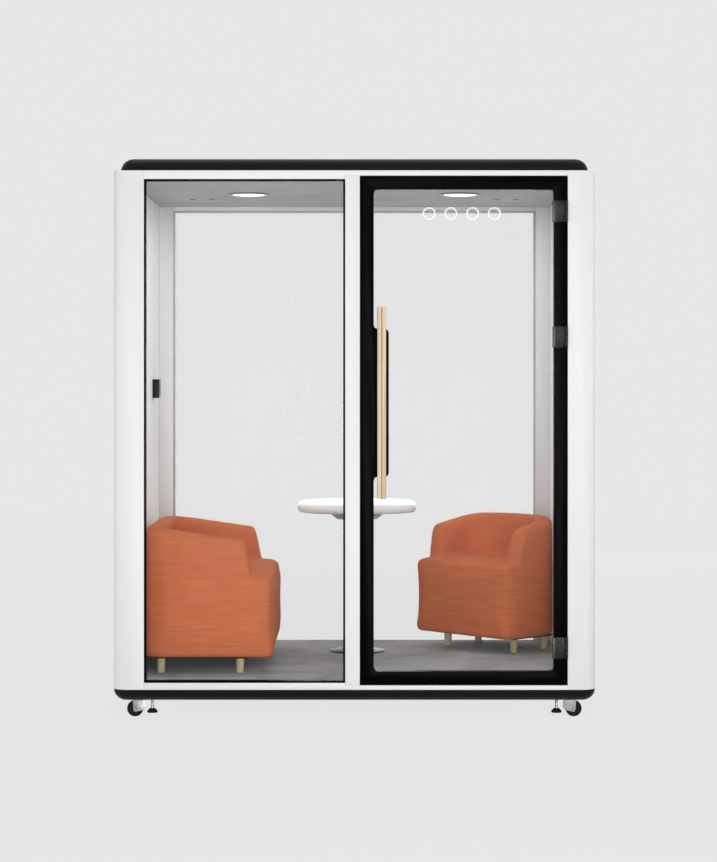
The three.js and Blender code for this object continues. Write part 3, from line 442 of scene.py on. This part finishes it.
def spun(profile, centre, axis=(0, 0, 1), steps=48):
    """A turned piece: a closed profile of (radius, height) points spun about an axis."""
    axis = Vector(axis)
    centre = Vector(centre)
    side = axis.orthogonal().normalized()
    points = [centre + side * radius + axis * height for radius, height in profile]
    points.append(points[0])
    deselect()
    bpy.ops.mesh.primitive_plane_add(size=0.001, location=points[0])
    piece = bpy.context.object
    pick(piece)
    bpy.ops.object.transform_apply(location=True, rotation=False, scale=False)
    edit(piece)
    bpy.ops.mesh.merge(type="CENTER")
    for start, end in zip(points, points[1:]):
        bpy.ops.mesh.extrude_region_move(TRANSFORM_OT_translate={"value": end - start})
    bpy.ops.mesh.select_all(action="SELECT")
    bpy.ops.mesh.remove_doubles(threshold=SAME_POINT)
    bpy.ops.mesh.spin(steps=steps, angle=math.tau, center=centre, axis=axis)
    bpy.ops.mesh.select_all(action="SELECT")
    bpy.ops.mesh.remove_doubles(threshold=SAME_POINT)
    bpy.ops.mesh.normals_make_consistent(inside=False)
    bpy.ops.object.mode_set(mode="OBJECT")
    return piece


def bar(low, high, bevel):
    """A straight bar between two corners with eased edges."""
    low, high = Vector(low), Vector(high)
    middle = (low + high) / 2
    deselect()
    bpy.ops.mesh.primitive_cube_add(size=1, location=middle)
    piece = bpy.context.object
    edit(piece)
    bpy.ops.transform.resize(value=high - low, center_override=middle)
    bpy.ops.mesh.bevel(offset=bevel, segments=3, affect="EDGES")
    bpy.ops.object.mode_set(mode="OBJECT")
    return piece


def copies(piece, offsets):
    """Copies of a piece, each with its own mesh, moved and joined with the first."""
    made = [piece]
    for offset in offsets:
        twin = piece.copy()
        twin.data = piece.data.copy()
        twin.location = piece.location + Vector(offset)
        bpy.context.scene.collection.objects.link(twin)
        made.append(twin)
    return joined(made)


def joined(made):
    """Joins objects into the first."""
    deselect()
    for one in made:
        one.select_set(True)
    bpy.context.view_layer.objects.active = made[0]
    bpy.ops.object.join()
    return made[0]


def node_centre(node):
    """Middle of a CAD node's box."""
    low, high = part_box(node)
    return (low + high) / 2


def paint(material, *nodes):
    """Gives CAD nodes a finish, and returns them."""
    found = [NODES[name] for name in nodes]
    for node in found:
        node.data.materials.clear()
        node.data.materials.append(material)
    return found


def ease_edges(nodes, width, segments=2, flatten=True):
    """Rounds the sharp edges of CAD nodes by live modifiers and smooths their curves."""
    for node in nodes:
        node.data.polygons.foreach_set("use_smooth", [True] * len(node.data.polygons))
        weld = node.modifiers.new("Weld", "WELD")
        weld.merge_threshold = SAME_POINT
        if flatten:
            flat = node.modifiers.new("Flat faces", "DECIMATE")
            flat.decimate_type = "DISSOLVE"
            flat.angle_limit = math.radians(FLAT_ANGLE)
        ease = node.modifiers.new("Edges", "BEVEL")
        ease.width = width
        ease.segments = segments
        ease.limit_method = "ANGLE"
        ease.angle_limit = math.radians(EDGE_ANGLE)
        ease.harden_normals = flatten
        if not flatten:
            level = node.modifiers.new("Level normals", "WEIGHTED_NORMAL")
            level.weight = 100


def second_finish(nodes, material, chosen):
    """Paints the faces of CAD nodes whose middle passes a test."""
    for node in nodes:
        node.data.materials.append(material)
        for face in node.data.polygons:
            if chosen(face.center):
                face.material_index = len(node.data.materials) - 1


# Operators


class PodOperator:
    """What the pod's operators share"""

    bl_options = {"REGISTER", "UNDO"}


class POD_OT_shell(PodOperator, bpy.types.Operator):
    """Paint the walls, rails, base and roof"""

    bl_idname = "pod.shell"
    bl_label = "Shell"

    def execute(self, context):
        white = powder_coat("white_powder_coat", colours().shell, 0.45, 0.015)
        black = powder_coat("black_powder_coat", colours().trim, 0.42, 0.03, 0.12)
        walls = paint(white, "left_wall_shell", "right_wall_shell")
        rails = paint(white, "front_head_rail", "front_sill", "front_mullion")
        rails += paint(white, "rear_head_rail", "rear_sill")
        ease_edges(walls + rails, 0.0012)
        ease_edges(paint(black, "base_frame"), 0.002)
        ease_edges(paint(black, "roof_cap"), 0.001, flatten=False)
        border = powder_coat("frame_black", colours().door, 0.3, 0.04, 0.02)
        frames = paint(border, "front_light_frame", "door_stop")
        frames += paint(powder_coat("rear_frame_grey", (0.45, 0.45, 0.455), 0.4), "rear_light_frame")
        ease_edges(frames, 0.0008)
        return {"FINISHED"}


class POD_OT_lining(PodOperator, bpy.types.Operator):
    """Line the cabin with felt and carpet"""

    bl_idname = "pod.lining"
    bl_label = "Lining"

    def execute(self, context):
        felt = felt_sheet("wall_felt", colours().wall_felt, 0.04)
        paint(felt, "left_wall_panel", "right_wall_panel")
        paint(felt_sheet("ceiling_felt", colours().ceiling_felt, 0.2), "ceiling_panel")
        paint(carpet_pile("carpet_pile", colours().carpet), "carpet")
        paint(oak_wood("birch_deck", (0.58, 0.43, 0.26), 0), "floor_deck")
        return {"FINISHED"}


class POD_OT_glazing(PodOperator, bpy.types.Operator):
    """Glaze the door and the fixed lights, with plain safety rings on the door"""

    bl_idname = "pod.glazing"
    bl_label = "Glazing"

    def execute(self, context):
        pane = clear_pane("clear_glass", colours().glass, sizes().glass_alpha)
        paint(pane, "front_light_glass", "rear_light_glass", "door_glass")
        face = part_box("door_glass")[0].y
        outer = sizes().ring_radius
        inner = outer - sizes().ring_line
        profile = [(inner, 0.0), (outer, 0.0), (outer, RING_THICKNESS), (inner, RING_THICKNESS)]
        first = (sizes().ring_first, face - RING_GAP, sizes().ring_height)
        ring = spun(profile, first, axis=(0, -1, 0), steps=72)
        places = [(sizes().ring_pitch * step, 0, 0) for step in range(1, sizes().ring_count)]
        rings = copies(ring, places)
        film = powder_coat("white_film", (0.96, 0.96, 0.96), 0.5, 0.01)
        settle(rings, "door_glass_rings", film, "door")
        return {"FINISHED"}


class POD_OT_door(PodOperator, bpy.types.Operator):
    """Finish the door border, its hinges, catch, seal and handle"""

    bl_idname = "pod.door"
    bl_label = "Door"

    def execute(self, context):
        border = powder_coat("door_black", colours().door, 0.3, 0.04, 0.02)
        ease_edges(paint(border, "door_frame"), 0.001)
        steel = brushed_metal("hinge_steel", (0.022, 0.022, 0.023), 0.42, 2)
        for name in HINGES:
            ease_edges(paint(steel, f"{name}_hinge_jamb_leaf", f"{name}_hinge_door_leaf"), 0.0006)
        zinc = brushed_metal("catch_zinc", (0.62, 0.63, 0.64), 0.35, 2)
        paint(zinc, "magnetic_catch")
        paint(moulded("seal_rubber", (0.012, 0.012, 0.012), 0.8), "door_seal")
        self.hinge_fittings(steel)
        self.handle()
        return {"FINISHED"}

    def hinge_fittings(self, steel):
        """Button-head screws on the door leaf of each hinge, and a paler strip along the leaf's edge
        that is a painted highlight on its bevel.
        """
        radius = sizes().screw_radius
        profile = [
            (0.0, 0.0006),
            (0.45 * radius, 0.0006),
            (0.5 * radius, 0.0018),
            (0.8 * radius, 0.0014),
            (radius, 0.0),
            (0.0, 0.0),
        ]
        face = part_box("door_frame")[0].y - HINGE_LEAF_STAND
        heads = []
        strips = []
        for name in HINGES:
            low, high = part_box(f"{name}_hinge_door_leaf")
            across = low.x + HINGE_SCREW_ACROSS * (high.x - low.x)
            for share in HINGE_SCREW_SHARES:
                place = (across, face, low.z + share * (high.z - low.z))
                heads.append(spun(profile, place, axis=(0, -1, 0), steps=24))
            near = (low.x + HINGE_EDGE_NEAR, face - HINGE_EDGE_STAND, low.z + HINGE_EDGE_END)
            far = (low.x + HINGE_EDGE_FAR, face + HINGE_EDGE_SINK, high.z - HINGE_EDGE_END)
            strips.append(bar(near, far, STRIP_BEVEL))
        settle(joined(heads), "hinge_screws", steel, "door")
        # The strip's paler metal is a painted highlight along the hinge leaf's edge.
        edge_highlight = brushed_metal("hinge_edge_highlight", (0.07, 0.07, 0.072), 0.4, 2)
        settle(joined(strips), "hinge_edges", edge_highlight, "door")

    def handle(self):
        """Oak bars with a dark strip in the groove, on a black core."""
        oak = oak_wood("oiled_oak", colours().oak, 2)
        # Each groove gets a strip darker than the oak around it, set just below the face.
        groove_strip_finish = oak_wood("dark_inlay", (0.34, 0.2, 0.12), 2)
        ease_edges(paint(oak, "handle_outer", "handle_inner"), 0.0012)
        paint(moulded("handle_core_black", (0.01, 0.01, 0.011), 0.4), "handle_core")
        for name, facing in (("outer", -1), ("inner", 1)):
            low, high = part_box(f"handle_{name}")
            face = low.y if facing < 0 else high.y
            middle = (low.x + high.x) / 2
            near = face - facing * INLAY_TOP
            far = face - facing * INLAY_BOTTOM
            corner = (middle - INLAY_HALF_WIDTH, min(near, far), low.z + INLAY_END)
            other = (middle + INLAY_HALF_WIDTH, max(near, far), high.z - INLAY_END)
            inlay = bar(corner, other, STRIP_BEVEL)
            settle(inlay, f"handle_{name}_inlay", groove_strip_finish, "door")


class POD_OT_ceiling(PodOperator, bpy.types.Operator):
    """Fit the downlights, air nozzles and fans"""

    bl_idname = "pod.ceiling"
    bl_label = "Ceiling"

    def execute(self, context):
        rim = brushed_metal("lamp_rim", (0.05, 0.05, 0.052), 0.35, 0)
        ease_edges(paint(rim, *[f"{side}_lamp_body" for side in SIDES]), 0.0008)
        paint(lit_lens("opal_lens"), *[f"{side}_lamp_lens" for side in SIDES])
        black = moulded("fan_black", (0.012, 0.012, 0.013), 0.5)
        for side in SIDES:
            paint(black, f"{side}_fan_frame", f"{side}_fan_rotor")
        self.nozzles()
        return {"FINISHED"}

    def nozzles(self):
        """A flanged insert in each of the ceiling's air holes."""
        flange = sizes().nozzle_flange
        hole = NOZZLE_HOLE
        throat = NOZZLE_THROAT
        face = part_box("ceiling_panel")[0].z
        chrome = brushed_metal("nozzle_metal", (0.16, 0.16, 0.165), 0.3, 0)
        profile = [
            (throat, -0.0032),
            (flange - 0.003, -0.003),
            (flange, -0.001),
            (flange, -0.0002),
            (hole, -0.0002),
            (hole, 0.018),
            (hole - 0.0015, 0.018),
            (throat, 0.002),
        ]
        inserts = []
        for side in SIDES:
            middle = node_centre(f"{side}_fan_frame")
            for step in (-1, 1):
                place = (middle.x + step * NOZZLE_OFFSET, middle.y, face)
                inserts.append(spun(profile, place, steps=40))
        settle(joined(inserts), "air_nozzles", chrome, "cabin")


class POD_OT_table(PodOperator, bpy.types.Operator):
    """Finish the table and the control box"""

    bl_idname = "pod.table"
    bl_label = "Table and control"

    def execute(self, context):
        ease_edges(paint(speckled_top("table_stone", colours().table), "table_top"), 0.001)
        grey = powder_coat("pedestal_grey", (0.42, 0.42, 0.425), 0.4, 0.05)
        pedestal = paint(grey, "table_pedestal")
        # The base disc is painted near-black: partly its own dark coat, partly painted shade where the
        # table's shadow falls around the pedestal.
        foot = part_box("table_pedestal")[0].z + PEDESTAL_FOOT
        dark = powder_coat("pedestal_foot_coat_and_shade", (0.03, 0.03, 0.031), 0.45, 0.05, 0.2)
        second_finish(pedestal, dark, lambda middle: middle.z < foot)
        ease_edges(pedestal, 0.0015)
        black = moulded("control_black", (0.003, 0.003, 0.0034), 0.35, 0.1)
        ease_edges(paint(black, "control_box"), 0.0015, 3)
        key = brushed_metal("control_key", (0.1, 0.1, 0.105), 0.4, 2)
        ease_edges(paint(key, "control_button"), 0.001)
        return {"FINISHED"}


class POD_OT_sofas(PodOperator, bpy.types.Operator):
    """Upholster both sofas and set them on oak legs"""

    bl_idname = "pod.sofas"
    bl_label = "Sofas"

    def execute(self, context):
        cloth = woven_cloth("terracotta_cloth", colours().cloth)
        oak = oak_wood("leg_oak", colours().oak, 2)
        # The near-black felt on the top band of each underframe is painted shade, standing in for the
        # shadow under the sofa.
        lining = felt_sheet("sofa_underside_shade", (0.012, 0.012, 0.012), 0.2)
        for side in SIDES:
            self.upholster(side, cloth)
            frames = paint(oak, f"{side}_sofa_underframe")
            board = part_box(f"{side}_sofa_underframe")[1].z - SOFA_SHADE_BAND
            second_finish(frames, lining, lambda middle: middle.z > board)
            ease_edges(frames, 0.0012)
        return {"FINISHED"}

    def upholster(self, side, cloth):
        """A stuffed cover over the sofa's form, swollen by its filling."""
        node = f"{side}_sofa"
        piece = bpy.data.objects.new(f"{node}_cover", NODES[node].data.copy())
        bpy.context.scene.collection.objects.link(piece)
        edit(piece)
        bpy.ops.mesh.remove_doubles(threshold=1e-5)
        bpy.ops.mesh.normals_make_consistent(inside=False)
        bpy.ops.transform.shrink_fatten(value=-sizes().pad_slack)
        bpy.ops.object.mode_set(mode="OBJECT")
        piece.data.remesh_voxel_size = sizes().pad_voxel
        bpy.ops.object.voxel_remesh()
        self.modify(piece, "SMOOTH", factor=0.5, iterations=4)
        self.swell(piece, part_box(node)[0].z)
        self.modify(piece, "SMOOTH", factor=0.5, iterations=6)
        self.modify(piece, "SUBSURF", levels=1, render_levels=1)
        settle(piece, f"{node}_cover", cloth, "cabin", 80.0)
        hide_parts(node)

    def modify(self, piece, kind, **values):
        """Adds a modifier and applies it."""
        modifier = piece.modifiers.new(kind.title(), kind)
        for name, value in values.items():
            setattr(modifier, name, value)
        pick(piece)
        bpy.ops.object.modifier_apply(modifier=modifier.name)

    def swell(self, piece, lowest):
        """Lets the filling push the cover out, no further than the swell allows."""
        rest = [vertex.co.copy() for vertex in piece.data.vertices]
        cloth = piece.modifiers.new("Cloth", "CLOTH")
        settings = cloth.settings
        settings.quality = 4
        settings.mass = 0.4
        settings.tension_stiffness = settings.compression_stiffness = 60
        settings.shear_stiffness = 40
        settings.bending_stiffness = 60
        settings.use_pressure = True
        settings.uniform_pressure_force = sizes().pad_pressure
        settings.effector_weights.gravity = 0
        scene = bpy.context.scene
        for step in range(1, CLOTH_STEPS + 1):
            scene.frame_set(step)
        pick(piece)
        bpy.ops.object.modifier_apply(modifier=cloth.name)
        scene.frame_set(1)
        limit = sizes().pad_swell
        flat = sizes().pad_slack + PAD_FLOOR
        for vertex, start in zip(piece.data.vertices, rest):
            move = vertex.co - start
            share = min(1.0, max(0.0, (start.z - lowest - flat) / sizes().pad_tuck))
            if move.length > 0:
                move.length = share * limit * math.tanh(move.length / limit)
            vertex.co = start + move
            if start.z < lowest + flat:
                vertex.co.z = lowest


class POD_OT_running_gear(PodOperator, bpy.types.Operator):
    """Finish the casters and levelling feet, with axle nuts and lock nuts"""

    bl_idname = "pod.running_gear"
    bl_label = "Casters and feet"

    def execute(self, context):
        zinc = brushed_metal("fork_zinc", (0.36, 0.37, 0.38), 0.36, 0)
        tyre = moulded("wheel_black", (0.004, 0.004, 0.0042), 0.55, 0.12)
        hub = moulded("hub_black", (0.01, 0.01, 0.0105), 0.5, 0.12)
        rubber = moulded("foot_rubber", (0.01, 0.01, 0.01), 0.8)
        for corner in CORNERS:
            ease_edges(paint(zinc, f"{corner}_caster_fork"), 0.0006)
            wheels = paint(tyre, f"{corner}_caster_wheel")
            axle = node_centre(f"{corner}_caster_wheel")
            second_finish(wheels, hub, lambda middle: (middle - axle).xz.length < HUB_RADIUS)
            ease_edges(wheels, 0.0006)
            feet = paint(rubber, f"{corner}_levelling_foot")
            second_finish(feet, zinc, lambda middle: middle.z > FOOT_PAD_TOP)
            ease_edges(feet, 0.0006)
            self.axle_nuts(corner, zinc)
            self.lock_nut(corner, zinc)
        return {"FINISHED"}

    def axle_nuts(self, corner, zinc):
        """A domed nut on each cheek of a fork."""
        low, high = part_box(f"{corner}_caster_fork")
        axle = node_centre(f"{corner}_caster_wheel")
        profile = [(0.0, 0.0042), (0.0035, 0.0036), (0.006, 0.0016), (0.006, 0.0001), (0.0, 0.0001)]
        nuts = [
            spun(profile, (axle.x, low.y, axle.z), axis=(0, -1, 0), steps=20),
            spun(profile, (axle.x, high.y, axle.z), axis=(0, 1, 0), steps=20),
        ]
        settle(joined(nuts), f"{corner}_axle_nuts", zinc, f"{corner}_caster")

    def lock_nut(self, corner, zinc):
        """A hexagon nut on the foot's stem, tight under the base."""
        stem = node_centre(f"{corner}_levelling_foot")
        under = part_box("left_wall_shell")[0].z - BASE_BELOW_WALL
        profile = [
            (0.0072, -0.0085),
            (0.0105, -0.0085),
            (0.0115, -0.0075),
            (0.0115, -0.001),
            (0.0105, 0.0),
            (0.0072, 0.0),
        ]
        nut = spun(profile, (stem.x, stem.y, under - LOCK_NUT_GAP), steps=6)
        settle(nut, f"{corner}_lock_nut", zinc, "cabin", 20.0)


class POD_OT_stage(PodOperator, bpy.types.Operator):
    """Set the floor, the light and the camera"""

    bl_idname = "pod.stage"
    bl_label = "Stage"

    def execute(self, context):
        self.floor()
        self.world(context.scene)
        self.lamps()
        self.camera(context.scene)
        context.scene.view_settings.view_transform = "Standard"
        return {"FINISHED"}

    def seen(self, nodes, links):
        """1 on rays that show the backdrop: straight to the camera, mirrored or through glass."""
        path = nodes.new("ShaderNodeLightPath")
        total = None
        for name in ("Is Camera Ray", "Is Glossy Ray", "Is Transmission Ray"):
            if total is None:
                total = path.outputs[name]
                continue
            both = nodes.new("ShaderNodeMath")
            both.operation = "MAXIMUM"
            links.new(total, both.inputs[0])
            links.new(path.outputs[name], both.inputs[1])
            total = both.outputs["Value"]
        return total

    def floor(self):
        """A wide pale floor that keeps a light shadow near the pod and fades into the backdrop."""
        deselect()
        bpy.ops.mesh.primitive_plane_add(size=FLOOR_SIZE, location=(0, 0, -FLOOR_DROP))
        ground = bpy.context.object
        ground.name = "studio_floor"
        material = bpy.data.materials.new("studio_floor")
        material.use_nodes = True
        nodes, links = material.node_tree.nodes, material.node_tree.links
        shader = nodes["Principled BSDF"]
        shader.inputs["Base Color"].default_value = (*colours().backdrop, 1)
        shader.inputs["Roughness"].default_value = 0.9
        shader.inputs["Specular IOR Level"].default_value = 0.0
        glow = nodes.new("ShaderNodeEmission")
        glow.inputs["Color"].default_value = (*colours().backdrop, 1)
        place = nodes.new("ShaderNodeTexCoord")
        reach = nodes.new("ShaderNodeVectorMath")
        reach.operation = "LENGTH"
        links.new(place.outputs["Object"], reach.inputs[0])
        fade = nodes.new("ShaderNodeMapRange")
        fade.inputs["From Min"].default_value = FADE_START
        fade.inputs["From Max"].default_value = FADE_END
        fade.inputs["To Min"].default_value = FADE_SHARE
        fade.inputs["To Max"].default_value = 1
        links.new(reach.outputs["Value"], fade.inputs["Value"])
        share = nodes.new("ShaderNodeMath")
        share.operation = "MULTIPLY"
        links.new(self.seen(nodes, links), share.inputs[0])
        links.new(fade.outputs["Result"], share.inputs[1])
        mix = nodes.new("ShaderNodeMixShader")
        links.new(share.outputs["Value"], mix.inputs["Fac"])
        links.new(shader.outputs["BSDF"], mix.inputs[1])
        links.new(glow.outputs["Emission"], mix.inputs[2])
        links.new(mix.outputs["Shader"], nodes["Material Output"].inputs["Surface"])
        ground.data.materials.append(material)

    def world(self, scene):
        """A pale backdrop to look at and an even soft light."""
        world = bpy.data.worlds.new("studio")
        scene.world = world
        world.use_nodes = True
        nodes, links = world.node_tree.nodes, world.node_tree.links
        light = nodes["Background"]
        light.inputs["Color"].default_value = (1, 1, 1, 1)
        light.inputs["Strength"].default_value = WORLD_STRENGTH
        backdrop = nodes.new("ShaderNodeBackground")
        backdrop.inputs["Color"].default_value = (*colours().backdrop, 1)
        mix = nodes.new("ShaderNodeMixShader")
        links.new(self.seen(nodes, links), mix.inputs["Fac"])
        links.new(light.outputs["Background"], mix.inputs[1])
        links.new(backdrop.outputs["Background"], mix.inputs[2])
        links.new(mix.outputs["Shader"], nodes["World Output"].inputs["Surface"])

    def lamps(self):
        """Broad soft lamps all round, and a soft glow under the ceiling."""
        middle = Vector(LAMP_TARGET)
        for name, place, size, power in (
            ("key", (0.3, -9.0, 1.6), 4.5, 260),
            ("low", (0.2, -5.5, 0.3), 2.5, 70),
            ("left_side", (-7.0, -2.0, 2.4), 4.0, 85),
            ("right_side", (7.0, -2.0, 2.4), 4.0, 90),
            ("back", (0.8, 8.5, 2.6), 5.0, 150),
            ("top", (0.5, 1.0, 6.5), 5.0, 60),
        ):
            self.lamp(name, Vector(place), middle, size, power)
        under = node_centre("ceiling_panel")
        under.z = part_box("left_lamp_lens")[0].z - GLOW_DROP
        glow = self.lamp("cabin_glow", under, under - Vector((0, 0, 1)), GLOW_SIZE, GLOW_POWER)
        glow.visible_camera = False
        glow.visible_glossy = False
        glow.visible_transmission = False

    def lamp(self, name, place, target, size, power):
        """One square lamp turned to its target."""
        lamp = bpy.data.lights.new(name, "AREA")
        lamp.size = size
        lamp.energy = power
        holder = bpy.data.objects.new(name, lamp)
        holder.location = place
        holder.rotation_euler = (target - place).to_track_quat("-Z", "Y").to_euler()
        bpy.context.scene.collection.objects.link(holder)
        return holder

    def camera(self, scene):
        """The photograph's level view from the front, framed by shift."""
        data = bpy.data.cameras.new("photo_view")
        data.sensor_width = 36
        data.lens = data.sensor_width * EYE_DISTANCE / (PIXEL_AT_FRONT * PHOTO_HEIGHT)
        data.shift_x = (PHOTO_WIDTH / 2 - POD_CENTRE_PIXEL) / PHOTO_HEIGHT
        data.shift_y = (HORIZON_PIXEL - PHOTO_HEIGHT / 2) / PHOTO_HEIGHT
        data.clip_end = 400
        camera = bpy.data.objects.new("photo_view", data)
        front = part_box("left_wall_shell")[0].y
        camera.location = (0, front - EYE_DISTANCE, EYE_HEIGHT)
        camera.rotation_euler = (math.pi / 2, 0, 0)
        scene.collection.objects.link(camera)
        scene.camera = camera


OPERATORS = (
    POD_OT_shell,
    POD_OT_lining,
    POD_OT_glazing,
    POD_OT_door,
    POD_OT_ceiling,
    POD_OT_table,
    POD_OT_sofas,
    POD_OT_running_gear,
    POD_OT_stage,
)


class POD_PT_tools(bpy.types.Panel):
    """Sidebar panel with the pod's steps"""

    bl_idname = "POD_PT_tools"
    bl_label = "Office Pod"
    bl_space_type = "VIEW_3D"
    bl_region_type = "UI"
    bl_category = "Pod"

    def draw(self, context):
        for operator in OPERATORS:
            self.layout.operator(operator.bl_idname)
        for group in (context.scene.pod_colours, context.scene.pod_sizes):
            for name in group.__annotations__:
                self.layout.prop(group, name)


CLASSES = (PodColours, PodSizes, *OPERATORS, POD_PT_tools)


def register():
    """Makes the add-on's classes and settings known to Blender."""
    for one in CLASSES:
        bpy.utils.register_class(one)
    bpy.types.Scene.pod_colours = PointerProperty(type=PodColours)
    bpy.types.Scene.pod_sizes = PointerProperty(type=PodSizes)


def unregister():
    """Takes them away again."""
    del bpy.types.Scene.pod_sizes
    del bpy.types.Scene.pod_colours
    for one in reversed(CLASSES):
        bpy.utils.unregister_class(one)


def main():
    """Dresses the pod."""
    register()
    bpy.ops.pod.stage()
    bpy.ops.pod.shell()
    bpy.ops.pod.lining()
    bpy.ops.pod.glazing()
    bpy.ops.pod.door()
    bpy.ops.pod.ceiling()
    bpy.ops.pod.table()
    bpy.ops.pod.sofas()
    bpy.ops.pod.running_gear()


if __name__ == "__main__":
    main()
